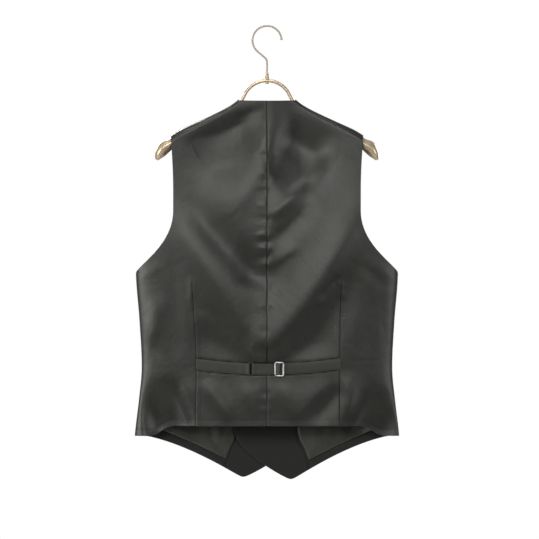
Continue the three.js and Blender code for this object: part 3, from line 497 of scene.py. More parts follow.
def back_top_length(x):
    """Length from the shoulder line to the back's top edge: the shoulder seam, or the neckline."""
    seam = SHOULDER_SEAM + SEAM_GAP
    at_point = NECK["z"] - drop_after(np.full(np.shape(x), float(NECK["half"])), seam)
    neckline = length_down(x, at_point - NECK["dip"] * (1 - (x / NECK["half"]) ** 2))
    return np.where(x >= NECK["half"], seam, neckline)


def back_length(v, x):
    """Length to a row of a back panel. v is 0 at the top edge, 1 below the roll, 2 at the underarm
    and 3 at the hem."""
    top = back_top_length(x)
    roll_end = np.maximum(quarter_roll(x), top + SHOULDER_SEAM)
    under = length_down(x, UNDERARM["z"])
    hem = length_down(x, mix(UNDERARM["z"], back_hem_z(x), np.clip(v - 2, 0, 1)))
    upper = mix(roll_end, under, np.clip(v - 1, 0, 1))
    return np.where(v < 1, mix(top, roll_end, v), np.where(v < 2, upper, hem))


def back_panel(side):
    """Outer skin of a back panel. Columns run from the centre seam to the dart and on to the
    armhole and side seam, and crowd at all three."""
    v = np.concatenate([
        graded(12, 2.2, 0.6, 2.2)[:-1],
        1 + graded(260, 2.6, 2.2, 2.6)[:-1],
        2 + graded(275, 2.6, 2.6, 0.6),
    ])[:, None]
    inner = graded(130, 2.6, 0.45, 0.45)
    outer = graded(110, 2.6, 0.45, 0.7)

    def z_at(x):
        return ridge(x) - drop_after(x, back_length(v, x))

    edge = settle(np.full(v.shape, float(ARMHOLE["half"])), lambda x: armhole_half(z_at(x), 0))
    edge_z = z_at(edge)
    edge_turn = np.where(v < 2, turn_at(edge, edge_z) + armhole_turn_on(edge_z), SIDE_SEAM)
    edge_turn = edge_turn - SIDE_SEAM_HALF_GAP
    middle = settle(np.full(v.shape, 130.0), lambda x: dart_x(side, z_at(x)))
    dart_turn = turn_at(middle, z_at(middle))
    turn = np.concatenate([
        dart_turn * inner[None, :-1] ** (ROUNDNESS / 2),
        mix(dart_turn, edge_turn, outer[None, :]),
    ], axis=1)
    own = settle(np.full(turn.shape, 100.0), lambda x: across_at(turn, z_at(x)))
    length = back_length(v, own)
    points = skin(side, turn, length)
    points[:, 0, 0] = side * SEAM_GAP / 2
    return points, own, length


def neckline_own(z):
    """Distance of the front neckline from the centre line, with a soft bow."""
    t = np.clip((z - NECK["z"]) / (LAP_CORNER["z"] - NECK["z"]), 0, 1)
    return mix(NECK["half"], LAP_CORNER["x"], t) + NECKLINE_BOW * np.sin(np.pi * t) * t


def cutaway(t, tip_z):
    """The front's cutaway edge: a curve of the second degree from the straight edge to the point."""
    def bend(a, b, c):
        return (1 - t) ** 2 * a + 2 * t * (1 - t) * b + t * t * c

    x = bend(LAP_CORNER["x"], LAP_CORNER["x"], CUTAWAY["tip_x"])
    return x, bend(CUTAWAY["from_z"], CUTAWAY["pull_z"], tip_z)


def front_rows():
    """Rows of a front: behind 0 to 1, roll 1 to 2, upper 2 to 3, body 3 to 4, tail 4 to 5 and hem
    5 to 6."""
    return np.concatenate([
        graded(6, 2, 0.6, 2)[:-1],
        1 + graded(22, 2.4, 2.2, 2.4)[:-1],
        2 + graded(260, 2.8, 2.4, 2.8)[:-1],
        3 + graded(240, 2.8, 2.8, 2.8)[:-1],
        4 + graded(60, 2.4, 2.4, 2.4)[:-1],
        5 + graded(20, 2.2, 2.4, 0.6),
    ])[:, None]


def front_panel(side):
    """Outer skin of a front, with the column of the facing's edge and the row of the hem's top.
    Columns run from the armhole and side seam through the facing's edge to the front edge."""
    tip_z = TIP_Z[side]
    v = front_rows()
    body = np.clip(v - 3, 0, 1)
    tail = np.clip(v - 4, 0, 1)
    hem = np.clip(v - 5, 0, 1)
    side_z = mix(UNDERARM["z"], FRONT_HEM["body_end_z"], body)
    side_z = mix(side_z, FRONT_HEM["side_z"] + HEM_TURN_UP, tail)
    side_z = mix(side_z, FRONT_HEM["side_z"], hem)
    cut_x, cut_z = cutaway(mix(tail * CUTAWAY["hem_share"], 1, hem), tip_z)
    front_x = np.where(v < 4, LAP_CORNER["x"], cut_x)
    front_z = np.where(v < 4, mix(LAP_CORNER["z"], CUTAWAY["from_z"], body), cut_z)
    side_x = half_width(side_z)
    power = mix(1, FRONT_HEM["power"], np.clip((v - 3) / 3, 0, 1) ** 2)

    def length_at(x):
        own = np.abs(x)
        level = mix(UNDERARM["z"], LAP_CORNER["z"],
                    np.clip((UNDERARM["half"] - x) / (UNDERARM["half"] - LAP_CORNER["x"]), 0, 1))
        upper = mix(quarter_roll(own), length_down(own, level), np.clip(v - 2, 0, 1))
        t = np.clip((side_x - x) / (side_x - front_x), 0, 1)
        lower = length_down(own, mix(side_z, front_z, t**power))
        roll = quarter_roll(own) * np.clip(v - 1, 0, 1)
        behind = -SHOULDER_SEAM * (1 - v)
        return np.where(v < 1, behind, np.where(v < 2, roll, np.where(v < 3, upper, lower)))

    def z_at(x):
        return ridge(np.abs(x)) - drop_after(np.abs(x), np.abs(length_at(x)))

    edge = settle(np.full(v.shape, float(ARMHOLE["half"])),
                  lambda x: armhole_half(z_at(x), FRONT_ARMHOLE_CUT["inwards"]))
    edge_z = z_at(edge)
    seam_turn = np.where(v < 3, 180 - turn_at(edge, edge_z) + armhole_turn_on(edge_z), SIDE_SEAM)
    seam_turn = seam_turn + SIDE_SEAM_HALF_GAP
    neck = settle(np.full(v.shape, float(NECK["half"])), lambda x: neckline_own(z_at(x)))
    front = np.where(v < 3, neck, front_x)
    front_turn = 180 - np.sign(front) * turn_at(np.abs(front), z_at(front))
    facing = settle(np.full(v.shape, 60.0), lambda x: through(FACING_EDGE, "z", "x", z_at(x)))
    facing_turn = 180 - turn_at(facing, z_at(facing))
    lining_columns = graded(165, 2.9, 0.7, 2.9)
    facing_columns = graded(116, 2.9, 2.9, 0.6)
    turn = np.concatenate([
        mix(seam_turn, facing_turn, lining_columns[None, :-1]),
        mix(facing_turn, front_turn, facing_columns[None, :]),
    ], axis=1)
    own = settle(np.full(turn.shape, 60.0), lambda x: across_at(turn, z_at(x)))
    length = length_at(own)

    def shift_at(x, z):
        across = smooth((LAP["half"] + LAP["blend"] - x) / LAP["blend"])
        down = smooth((z - LAP["start_z"]) / (LAP["full_z"] - LAP["start_z"]))
        return side * LAP["shift"] * across * down

    points = skin(side, turn, length, shift_at)
    from_tip = points[:, :, 0] - side * CUTAWAY["tip_x"]
    blunt = POINT["slope"] * (np.hypot(from_tip, POINT["radius"]) - np.abs(from_tip))
    points[:, :, 2] += blunt * bell(points[:, :, 2] - tip_z, POINT["height"])
    hem_row = int(np.argmin(np.abs(v[:, 0] - 5)))
    return points, own, length, len(lining_columns) - 1, hem_row


def grid_normals(points, outward):
    """Unit normals of a grid from its differences, turned to the outward side at the middle."""
    across = np.gradient(points, axis=1)
    down = np.gradient(points, axis=0)
    normals = np.cross(across, down)
    normals /= np.maximum(np.linalg.norm(normals, axis=2, keepdims=True), 1e-9)
    middle = normals[normals.shape[0] // 2, normals.shape[1] // 2]
    return normals * np.sign(middle @ np.array(outward, float))


def ring_of(rows, columns):
    """Indices of a grid's border, once round, with the neighbour inside each."""
    index = np.arange(rows * columns).reshape(rows, columns)
    border = [index[0, :-1], index[:-1, -1], index[-1, :0:-1], index[:0:-1, 0]]
    inside = [index[1, :-1], index[:-1, -2], index[-2, :0:-1], index[:0:-1, 1]]
    return np.concatenate(border), np.concatenate(inside)


def shell(outer, inner, bulge=0.45):
    """A closed wall: the outer grid, the inner grid turned round, and a rim whose middle stands out
    by a share of the wall's thickness, so that the cloth's edge is rounded."""
    rows, columns = outer.shape[:2]
    flat_outer, flat_inner = outer.reshape(-1, 3), inner.reshape(-1, 3)
    index = np.arange(rows * columns).reshape(rows, columns)
    cells = np.stack([index[:-1, :-1], index[:-1, 1:], index[1:, 1:], index[1:, :-1]], -1).reshape(-1, 4)
    border, inside = ring_of(rows, columns)
    away = flat_outer[border] - flat_outer[inside]
    away /= np.maximum(np.linalg.norm(away, axis=1, keepdims=True), 1e-9)
    thick = np.linalg.norm(flat_outer[border] - flat_inner[border], axis=1, keepdims=True)
    rim = (flat_outer[border] + flat_inner[border]) / 2 + away * thick * bulge
    points = np.concatenate([flat_outer, flat_inner, rim])
    count = rows * columns
    ring = 2 * count + np.arange(len(border))
    following = np.roll(np.arange(len(border)), -1)
    near = np.stack([border[following], border, ring, ring[following]], -1)
    far = np.stack([ring[following], ring, border + count, border[following] + count], -1)
    return points, np.concatenate([cells, cells[:, ::-1] + count, near, far])


def outward_quads(points, quads):
    """The quads, all turned round if they enclose a negative volume."""
    a, b, c, d = (points[quads[:, k]] for k in range(4))
    volume = (a * np.cross(b, c)).sum() + (a * np.cross(c, d)).sum()
    return quads if volume > 0 else quads[:, ::-1]


def piece_of(name, points, quads, material, uv=None):
    """A smooth-shaded object in metres, at the origin, with a UV map in metres of cloth."""
    quads = outward_quads(points, quads)
    mesh = bpy.data.meshes.new(name)
    mesh.vertices.add(len(points))
    mesh.vertices.foreach_set("co", (points * MM).astype(np.float32).ravel())
    mesh.loops.add(quads.size)
    mesh.loops.foreach_set("vertex_index", quads.astype(np.int32).ravel())
    mesh.polygons.add(len(quads))
    mesh.polygons.foreach_set("loop_start", np.arange(0, quads.size, 4, dtype=np.int32))
    mesh.polygons.foreach_set("use_smooth", np.ones(len(quads), bool))
    mesh.update(calc_edges=True)
    if uv is not None:
        layer = mesh.uv_layers.new(name="UVMap")
        layer.data.foreach_set("uv", (uv[quads.ravel()] * MM).astype(np.float32).ravel())
    mesh.materials.append(material)
    piece = bpy.data.objects.new(name, mesh)
    bpy.context.scene.collection.objects.link(piece)
    return piece


def dress(piece, nodes):
    """Lets a piece ride on the body and stand for its nodes."""
    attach(piece, "root")
    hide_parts(*nodes)
    return piece


def cloth_piece(name, outer, inner, own, length, material, seam=None):
    """A cloth wall as an object. Its UV map is the distance across and the length down, and seam
    is the gloss taken from the satin: duller stitching with painted shade in its grooves, painted
    shade beside the straps and a painted shadow in the ring."""
    points, quads = shell(outer, inner)
    border, _ = ring_of(*outer.shape[:2])
    flat = np.stack([own.ravel(), length.ravel()], -1)
    piece = piece_of(name, points, quads, material, np.concatenate([flat, flat, flat[border]]))
    # The seam attribute takes gloss from the satin: duller stitching with painted shade in its grooves,
    # painted shade beside the straps and a painted shadow in the ring
    if seam is not None:
        values = np.concatenate([seam.ravel(), seam.ravel(), seam.ravel()[border]])
        layer = piece.data.attributes.new("seam", "FLOAT", "POINT")
        layer.data.foreach_set("value", values.astype(np.float32))
    return piece


# Materials


def principled(name, **values):
    """A new material and its nodes, with constants set on the shader's own sockets."""
    material = bpy.data.materials.new(name)
    material.use_nodes = True
    nodes, links = material.node_tree.nodes, material.node_tree.links
    shader = nodes["Principled BSDF"]
    for socket, value in values.items():
        shader.inputs[socket.replace("_", " ")].default_value = value
    return material, nodes, links, shader


def node(nodes, kind, **settings):
    """A new node with properties and input values by name."""
    made = nodes.new(kind)
    for key, value in settings.items():
        if key in made.inputs:
            made.inputs[key].default_value = value
        else:
            setattr(made, key, value)
    return made


def colour_ramp(nodes, stops):
    """A colour ramp from (place, colour) stops."""
    ramp = nodes.new("ShaderNodeValToRGB")
    while len(ramp.color_ramp.elements) < len(stops):
        ramp.color_ramp.elements.new(0.5)
    for element, (place, colour) in zip(ramp.color_ramp.elements, stops):
        element.position = place
        element.color = (*colour, 1)
    return ramp


# Specular level of the satin on open cloth, and where the seam attribute is full, which is duller stitching
# and painted shade
GLOSS = dict(open=0.55, in_seam_and_painted_shade=0.02, tint=(1.0, 1.0, 0.96, 1.0))


def satin(name, dark, light, roughness, tilt):
    """Woven satin: long floats in fine rows along the cloth, slub streaks, and a soft broad gloss, which the
    seam attribute lowers as duller stitching and painted shade.
    """
    material, nodes, links, shader = principled(
        name, Roughness=roughness, Anisotropic=0.35)
    place = node(nodes, "ShaderNodeTexCoord")
    turned = node(nodes, "ShaderNodeMapping")
    turned.inputs["Rotation"].default_value = (0, 0, tilt)
    links.new(place.outputs["UV"], turned.inputs["Vector"])
    slub = node(nodes, "ShaderNodeTexNoise", Scale=9.0, Detail=5.0, Roughness=0.6)
    stretched = node(nodes, "ShaderNodeMapping")
    stretched.inputs["Scale"].default_value = (60, 4, 1)
    links.new(turned.outputs["Vector"], stretched.inputs["Vector"])
    links.new(stretched.outputs["Vector"], slub.inputs["Vector"])
    tone = colour_ramp(nodes, [(0.3, dark), (0.7, light)])
    links.new(slub.outputs["Fac"], tone.inputs["Fac"])
    links.new(tone.outputs["Color"], shader.inputs["Base Color"])
    shader.inputs["Specular Tint"].default_value = GLOSS["tint"]
    # The seam attribute lowers the gloss: duller stitching, painted shade beside seams and straps, and a
    # painted shadow in the ring
    stitched = node(nodes, "ShaderNodeAttribute", attribute_name="seam")
    gloss = node(nodes, "ShaderNodeMapRange")
    gloss.inputs["To Min"].default_value = GLOSS["open"]
    gloss.inputs["To Max"].default_value = GLOSS["in_seam_and_painted_shade"]
    links.new(stitched.outputs["Fac"], gloss.inputs["Value"])
    links.new(gloss.outputs["Result"], shader.inputs["Specular IOR Level"])
    floats = node(nodes, "ShaderNodeTexWave", Scale=620.0, Distortion=1.2, Detail=1.0)
    links.new(turned.outputs["Vector"], floats.inputs["Vector"])
    rumple = node(nodes, "ShaderNodeTexNoise", Scale=46.0, Detail=5.0, Roughness=0.6)
    links.new(place.outputs["UV"], rumple.inputs["Vector"])
    weave = node(nodes, "ShaderNodeBump", Strength=0.1, Distance=0.0002)
    links.new(floats.outputs["Fac"], weave.inputs["Height"])
    soft = node(nodes, "ShaderNodeBump", Strength=0.3, Distance=0.002)
    links.new(rumple.outputs["Fac"], soft.inputs["Height"])
    links.new(weave.outputs["Normal"], soft.inputs["Normal"])
    links.new(soft.outputs["Normal"], shader.inputs["Normal"])
    return material


def wool(name, dark, light):
    """Worsted wool: a fine diagonal twill with a little fuzz, and almost no gloss."""
    material, nodes, links, shader = principled(
        name, Roughness=0.88, Specular_IOR_Level=0.25, Sheen_Weight=0.12, Sheen_Roughness=0.5)
    place = node(nodes, "ShaderNodeTexCoord")
    turned = node(nodes, "ShaderNodeMapping")
    turned.inputs["Rotation"].default_value = (0, 0, math.radians(45))
    links.new(place.outputs["UV"], turned.inputs["Vector"])
    twill = node(nodes, "ShaderNodeTexWave", Scale=330.0, Distortion=0.8, Detail=1.0)
    links.new(turned.outputs["Vector"], twill.inputs["Vector"])
    fuzz = node(nodes, "ShaderNodeTexNoise", Scale=900.0, Detail=4.0, Roughness=0.7)
    links.new(place.outputs["UV"], fuzz.inputs["Vector"])
    blend = node(nodes, "ShaderNodeMix", data_type="FLOAT")
    blend.inputs[0].default_value = 0.5
    links.new(twill.outputs["Fac"], blend.inputs[2])
    links.new(fuzz.outputs["Fac"], blend.inputs[3])
    tone = colour_ramp(nodes, [(0.25, dark), (0.75, light)])
    links.new(blend.outputs[0], tone.inputs["Fac"])
    links.new(tone.outputs["Color"], shader.inputs["Base Color"])
    bump = node(nodes, "ShaderNodeBump", Strength=0.25, Distance=0.0003)
    links.new(blend.outputs[0], bump.inputs["Height"])
    links.new(bump.outputs["Normal"], shader.inputs["Normal"])
    return material


def metal(name, base, roughness, metallic=1.0, worn=0.2):
    """Plated or lacquered metal: a fine brushed unevenness in the gloss and a faint dulling."""
    material, nodes, links, shader = principled(name, Metallic=metallic)
    place = node(nodes, "ShaderNodeTexCoord")
    dust = node(nodes, "ShaderNodeTexNoise", Scale=60.0, Detail=4.0, Roughness=0.5)
    links.new(place.outputs["Object"], dust.inputs["Vector"])
    tone = colour_ramp(nodes, [(0.3, tuple(0.93 * c for c in base)), (0.7, base)])
    links.new(dust.outputs["Fac"], tone.inputs["Fac"])
    links.new(tone.outputs["Color"], shader.inputs["Base Color"])
    gloss = node(nodes, "ShaderNodeMapRange")
    gloss.inputs["To Min"].default_value = roughness * (1 - worn)
    gloss.inputs["To Max"].default_value = roughness * (1 + worn)
    links.new(dust.outputs["Fac"], gloss.inputs["Value"])
    links.new(gloss.outputs["Result"], shader.inputs["Roughness"])
    return material


def horn(name):
    """Dark horn-like button plastic: cloudy streaks under a low gloss."""
    material, nodes, links, shader = principled(name, Roughness=0.35, Specular_IOR_Level=0.5)
    place = node(nodes, "ShaderNodeTexCoord")
    streaks = node(nodes, "ShaderNodeTexNoise", Scale=260.0, Detail=5.0, Distortion=1.5)
    links.new(place.outputs["Object"], streaks.inputs["Vector"])
    tone = colour_ramp(nodes, [(0.35, (0.008, 0.008, 0.008)), (0.7, (0.03, 0.027, 0.024))])
    links.new(streaks.outputs["Fac"], tone.inputs["Fac"])
    links.new(tone.outputs["Color"], shader.inputs["Base Color"])
    bump = node(nodes, "ShaderNodeBump", Strength=0.05, Distance=0.0003)
    links.new(streaks.outputs["Fac"], bump.inputs["Height"])
    links.new(bump.outputs["Normal"], shader.inputs["Normal"])
    return material


BACK_SATIN = satin("back_satin", (0.0035, 0.0037, 0.0022), (0.007, 0.0073, 0.005), 0.48, 0.0)
# The lining's base is lighter than the back's satin: painted light where the back's hem shades the inside of
# the fronts
LINING_SATIN_LIGHTENED = satin("lining_satin", (0.016, 0.0163, 0.012), (0.025, 0.0255, 0.02), 0.47, 0.0)
STRAP_SATIN = satin("strap_satin", (0.007, 0.0073, 0.005), (0.011, 0.0113, 0.0085), 0.6, math.pi / 2)
FRONT_WOOL = wool("front_wool", (0.0085, 0.0091, 0.008), (0.014, 0.0148, 0.013))
RING_METAL = metal("ring_metal", (0.004, 0.004, 0.0035), 0.5, 0.0)
BUCKLE_METAL = metal("buckle_metal", (0.55, 0.55, 0.53), 0.3, 0.85)
HANGER_GOLD = metal("hanger_gold", (0.55, 0.44, 0.3), 0.42, 0.7)
HOOK_METAL = metal("hook_metal", (0.37, 0.32, 0.265), 0.6, 0.3)
BUTTON_HORN = horn("button_horn")


# The cloth

SIDES = {"left": 1, "right": -1}
LINING_EASE = 5  # rows or columns of the grid


def add_back(name, side):
    """A satin back panel."""
    outer, own, length = back_panel(side)
    inner = outer - BACK_WALL * grid_normals(outer, (0, 1, 0))
    inner[:, 0, 0] = side * SEAM_GAP / 2
    # Gloss taken from the satin: duller stitching with painted shade in its grooves, painted shade beside
    # the straps, and a painted shadow in the ring
    seam = dull_seams_and_painted_shade(side, own, outer[:, :, 2])
    piece = cloth_piece("satin_back_" + name, outer, inner, own, length, BACK_SATIN, seam)
    return dress(piece, ["back_" + name])


def lining_loose(outer, last_row, last_column):
    """How far the lining stands off the front: its folds, which die away towards the rows and
    columns where it is sewn down."""
    rows, columns = np.indices(outer.shape[:2])
    folds = crease_sum(LINING_FOLDS, outer[:, :, 0], outer[:, :, 2])
    sewn = np.minimum(np.minimum(rows, last_row - rows), np.minimum(columns, last_column - columns))
    return folds * smooth(sewn / LINING_EASE)


def add_front(name, side):
    """A wool front, and inside it the facing, the hem band and the lining."""
    outer, own, length, seam, hem = front_panel(side)
    normals = grid_normals(outer, (0, -1, 0))
    front = cloth_piece("wool_front_" + name, outer, outer - FRONT_WALL * normals, own, length, FRONT_WOOL)
    made = {"front": dress(front, ["front_" + name])}
    face = outer - (FRONT_WALL + SEAM_GAP) * normals
    back = outer - (FRONT_WALL + SEAM_GAP + INNER_WALL) * normals
    spans = {
        "facing": (slice(0, None), slice(seam, None), FRONT_WOOL, "front_wool"),
        "hem_band": (slice(hem, None), slice(0, seam), FRONT_WOOL, "front_wool"),
        "lining": (slice(0, hem), slice(0, seam), LINING_SATIN_LIGHTENED, "lining_satin"),
    }
    for part, (rows, columns, material, slot) in spans.items():
        cut = (rows, columns)
        loose = np.zeros_like(normals)
        if part == "lining":
            loose = normals * lining_loose(outer, rows.stop, columns.stop)[:, :, None]
        piece = cloth_piece(f"{part}_cloth_{name}", (face - loose)[cut], (back - loose)[cut],
                            own[cut], length[cut], material)
        made[part] = dress(piece, [f"{part}_{name}"])
    return made


backs = {name: add_back(name, side) for name, side in SIDES.items()}
fronts = {name: add_front(name, side) for name, side in SIDES.items()}


# Straps, ring and buckle


def back_y(x, z):
    """Depth of the back's outer skin at a place seen from behind, without its fine relief."""
    own = np.abs(x)
    return skin_depth(1, own * np.sign(x), z, turn_at(own, z), fine=False)


LOW = STRAP["lift"] + STRAP["wall"] / 2
HIGH = LOW + STRAP["wall"] + SEAM_GAP
LOOP = RING["wire"] / 2 + SEAM_GAP + STRAP["wall"] / 2
FRAME = HIGH + STRAP["wall"] / 2 + SEAM_GAP
OVER_BAR = FRAME + BUCKLE["thick"] + SEAM_GAP + STRAP["wall"] / 2


def run_of(start, end, steps):
    """Stations (x, out) from one place towards another, the end left out."""
    t = np.arange(steps)[:, None] / steps
    return mix(np.array(start, float), np.array(end, float), t)


def turn_of(bar_x, way, from_low, steps=14):
    """A half turn round a ring bar."""
    angle = np.linspace(-np.pi / 2, np.pi / 2, steps)
    angle = angle if from_low else angle[::-1]
    return np.stack([bar_x + way * LOOP * np.cos(angle), LOW + LOOP * (1 + np.sin(angle))], -1)


def left_strap_path():
    """The left strap: from the dart, over its own end, round the ring and back under."""
    bar = RING["x"] + (RING["width"] - RING["wire"]) / 2
    return np.concatenate([
        run_of((STRAP["half"], LOW - STRAP_DIP), (LEFT_TURN_BACK + 8, LOW), 36),
        run_of((LEFT_TURN_BACK + 8, LOW), (LEFT_TURN_BACK, HIGH), 5),
        run_of((LEFT_TURN_BACK, HIGH), (bar + 5, HIGH), 5),
        run_of((bar + 5, HIGH), (bar + 1, LOW + 2 * LOOP), 3),
        turn_of(bar, -1, False),
        run_of((bar + 1.5, LOW), (LEFT_TURN_BACK - 1, LOW), 6),
        [(LEFT_TURN_BACK - 1, LOW)],
    ])


def right_strap_path():
    """The right strap: from the buckle's bar, round the ring, back over and through the buckle."""
    bar = RING["x"] - (RING["width"] - RING["wire"]) / 2
    near = BUCKLE["x"] + BUCKLE["width"] / 2 - BUCKLE["bar"]
    far = BUCKLE["x"] - BUCKLE["width"] / 2 + BUCKLE["bar"]
    on_bar = BUCKLE["x"] + BUCKLE["centre_bar"] / 2 + SEAM_GAP
    off_bar = BUCKLE["x"] - BUCKLE["centre_bar"] / 2 - SEAM_GAP
    return np.concatenate([
        run_of((BUCKLE["x"] + 1, LOW), (bar - 2, LOW), 26),
        turn_of(bar, 1, True),
        run_of((bar - 1.5, LOW + 2 * LOOP), (bar - 6, HIGH), 4),
        run_of((bar - 6, HIGH), (near - SEAM_GAP, HIGH), 22),
        run_of((near - SEAM_GAP, HIGH), (on_bar, OVER_BAR), 5),
        run_of((on_bar, OVER_BAR), (off_bar, OVER_BAR), 3),
        run_of((off_bar, OVER_BAR), (off_bar - 1.3, LOW + 0.4), 5),
        run_of((off_bar - 1.3, LOW + 0.4), (far + SEAM_GAP, LOW + SEAM_GAP), 4),
        run_of((far + SEAM_GAP, LOW + SEAM_GAP), (far - 4, LOW), 3),
        run_of((far - 4, LOW), (-STRAP["right_end"], LOW - STRAP_DIP), 40),
        [(-STRAP["right_end"], LOW - STRAP_DIP)],
    ])


def strap_shell(path):
    """A strap's two faces: the path carried across its width, with edges rolled down a little and
    a stitched groove near each edge."""
    half_share = np.array([0.12, 0.25, 0.37, 0.4, 0.43, 0.46, 0.487, 0.5])
    share = np.concatenate([-half_share[::-1], [0], half_share])
    step = np.gradient(path, axis=0)
    step /= np.linalg.norm(step, axis=1, keepdims=True)
    normal = np.stack([-step[:, 1], step[:, 0]], -1)
    across = np.abs(share)[None, :]
    stitched = STRAP_STITCH["depth"] * bell(across - STRAP_STITCH["at"], STRAP_STITCH["half"])
    rolled = STRAP_ROLL["depth"] * smooth((across - STRAP_ROLL["at"]) / STRAP_ROLL["run"])
    grids = []
    for way in (1, -1):
        half = STRAP["wall"] / 2 - stitched - rolled
        x = path[:, :1] + way * normal[:, :1] * half
        out = path[:, 1:] + way * normal[:, 1:] * half
        z = strap_z(path[:, :1]) + share[None, :] * STRAP["width"]
        y = back_y(np.broadcast_to(path[:, :1], z.shape), z) + out
        grids.append(np.stack([np.broadcast_to(x, z.shape), y, z], -1))
    run = np.concatenate([[0], np.cumsum(np.linalg.norm(np.diff(path, axis=0), axis=1))])
    flat = np.broadcast_arrays(run[:, None], share[None, :] * STRAP["width"])
    return grids[0], grids[1], flat[0], flat[1]


def add_strap(name, path):
    """A waist strap in satin."""
    outer, inner, along, across = strap_shell(path)
    piece = cloth_piece("waist_strap_" + name, outer, inner, along, across, STRAP_SATIN)
    return dress(piece, ["strap_" + name])


straps = {
    "left": add_strap("left", left_strap_path()),
    "right": add_strap("right", right_strap_path()),
}


def tube(path, radius, sides=12, closed=False):
    """Points and quads of a round tube: a circle set square to the path at every station. The path
    lies in one plane, whose normal is Y. An open tube is closed by a small ring at each end."""
    path = np.asarray(path, float)
    radius = np.broadcast_to(radius, len(path))
    step = (np.roll(path, -1, 0) - np.roll(path, 1, 0)) if closed else np.gradient(path, axis=0)
    step /= np.linalg.norm(step, axis=1, keepdims=True)
    up = np.array([0.0, 1.0, 0.0])
    level = np.cross(step, up)
    level /= np.linalg.norm(level, axis=1, keepdims=True)
    angle = 2 * np.pi * np.arange(sides) / sides
    circle = (np.cos(angle)[None, :, None] * level[:, None] + np.sin(angle)[None, :, None] * up)
    points = path[:, None] + circle * radius[:, None, None]
    return ring_grid(points, closed)


def ring_grid(points, closed=False):
    """Quads between rings of points, each ring joined to the next. Open ends are drawn together to
    a ring of no size, which closes them."""
    if not closed:
        first = np.broadcast_to(points[0].mean(0), points[0].shape)
        last = np.broadcast_to(points[-1].mean(0), points[-1].shape)
        points = np.concatenate([first[None], points, last[None]])
    rings, sides = points.shape[:2]
    index = np.arange(rings * sides).reshape(rings, sides)
    follow = np.roll(index, -1, axis=0) if closed else index[1:]
    here = index if closed else index[:-1]
    quads = np.stack([here, np.roll(here, -1, 1), np.roll(follow, -1, 1), follow], -1)
    return points.reshape(-1, 3), quads.reshape(-1, 4)


def rounded_loop(width, height, corner, steps=6):
    """A rectangle's middle line with round corners, as (x, z) points once round."""
    angle = np.linspace(0, np.pi / 2, steps)
    corners = [(1, 1, 0), (-1, 1, 1), (-1, -1, 2), (1, -1, 3)]
    return np.concatenate([
        np.stack([sx * (width / 2 - corner) + corner * np.cos(angle + k * np.pi / 2),
                  sz * (height / 2 - corner) + corner * np.sin(angle + k * np.pi / 2)], -1)
        for sx, sz, k in corners
    ])


def joined(parts):
    """Several (points, quads) as one."""
    points, quads, count = [], [], 0
    for p, q in parts:
        points.append(p)
        quads.append(outward_quads(p - p.mean(0), q) + count)
        count += len(p)
    return np.concatenate(points), np.concatenate(quads)


def add_ring():
    """The dark wire ring that joins the straps."""
    loop = rounded_loop(RING["width"] - RING["wire"], RING["height"] - RING["wire"], RING["corner"])
    z = strap_z(RING["x"])
    y = float(back_y(np.array(RING["x"]), np.array(z))) + LOW + LOOP
    path = np.stack([RING["x"] + loop[:, 0], np.full(len(loop), y), z + loop[:, 1]], -1)
    piece = piece_of("ring_wire", *tube(path, RING["wire"] / 2, closed=True), RING_METAL)
    return dress(piece, ["strap_ring"])


def flat_bar(path, width, thick, closed):
    """A bar of rounded rectangular section carried along a path in the XZ plane."""
    path = np.asarray(path, float)
    step = (np.roll(path, -1, 0) - np.roll(path, 1, 0)) if closed else np.gradient(path, axis=0)
    step /= np.linalg.norm(step, axis=1, keepdims=True)
    level = np.cross(step, [0.0, 1.0, 0.0])
    section = rounded_loop(width, thick, min(width, thick) * 0.42, 4)
    points = (path[:, None] + section[None, :, :1] * level[:, None]
              + section[None, :, 1:] * np.array([0.0, 1.0, 0.0]))
    return ring_grid(points, closed)


def add_buckle():
    """The sliding buckle: a rounded frame with a bar across its middle."""
    x, z = BUCKLE["x"], strap_z(BUCKLE["x"])
    y = float(back_y(np.array(x), np.array(z))) + FRAME + BUCKLE["thick"] / 2
    bar = BUCKLE["bar"]
    loop = rounded_loop(BUCKLE["width"] - bar, BUCKLE["height"] - bar, BUCKLE["corner"])
    path = np.stack([x + loop[:, 0], np.full(len(loop), y), z + loop[:, 1]], -1)
    frame_bar = flat_bar(path, bar, BUCKLE["thick"], True)
    reach = BUCKLE["height"] / 2 - bar * 0.7
    across = np.stack([np.full(9, x), np.full(9, y), z + np.linspace(-reach, reach, 9)], -1)
    centre = flat_bar(across, BUCKLE["centre_bar"], BUCKLE["thick"] * 0.8, False)
    piece = piece_of("slider_frame", *joined([frame_bar, centre]), BUCKLE_METAL)
    return dress(piece, ["strap_buckle"])


add_ring()
add_buckle()


# Buttons


def lathe(profile, sides=40):
    """A profile of (radius, y) turned round the Y axis. It starts and ends on the axis."""
    profile = np.array(profile, float)
    angle = 2 * np.pi * np.arange(sides) / sides
    points = np.stack(np.broadcast_arrays(profile[:, :1] * np.cos(angle), profile[:, 1:],
                                          profile[:, :1] * np.sin(angle)), -1)
    index = np.arange(points.shape[0] * sides).reshape(-1, sides)
    quads = np.stack([index[:-1], np.roll(index[:-1], -1, 1), np.roll(index[1:], -1, 1), index[1:]], -1)
    return points.reshape(-1, 3), quads.reshape(-1, 4)


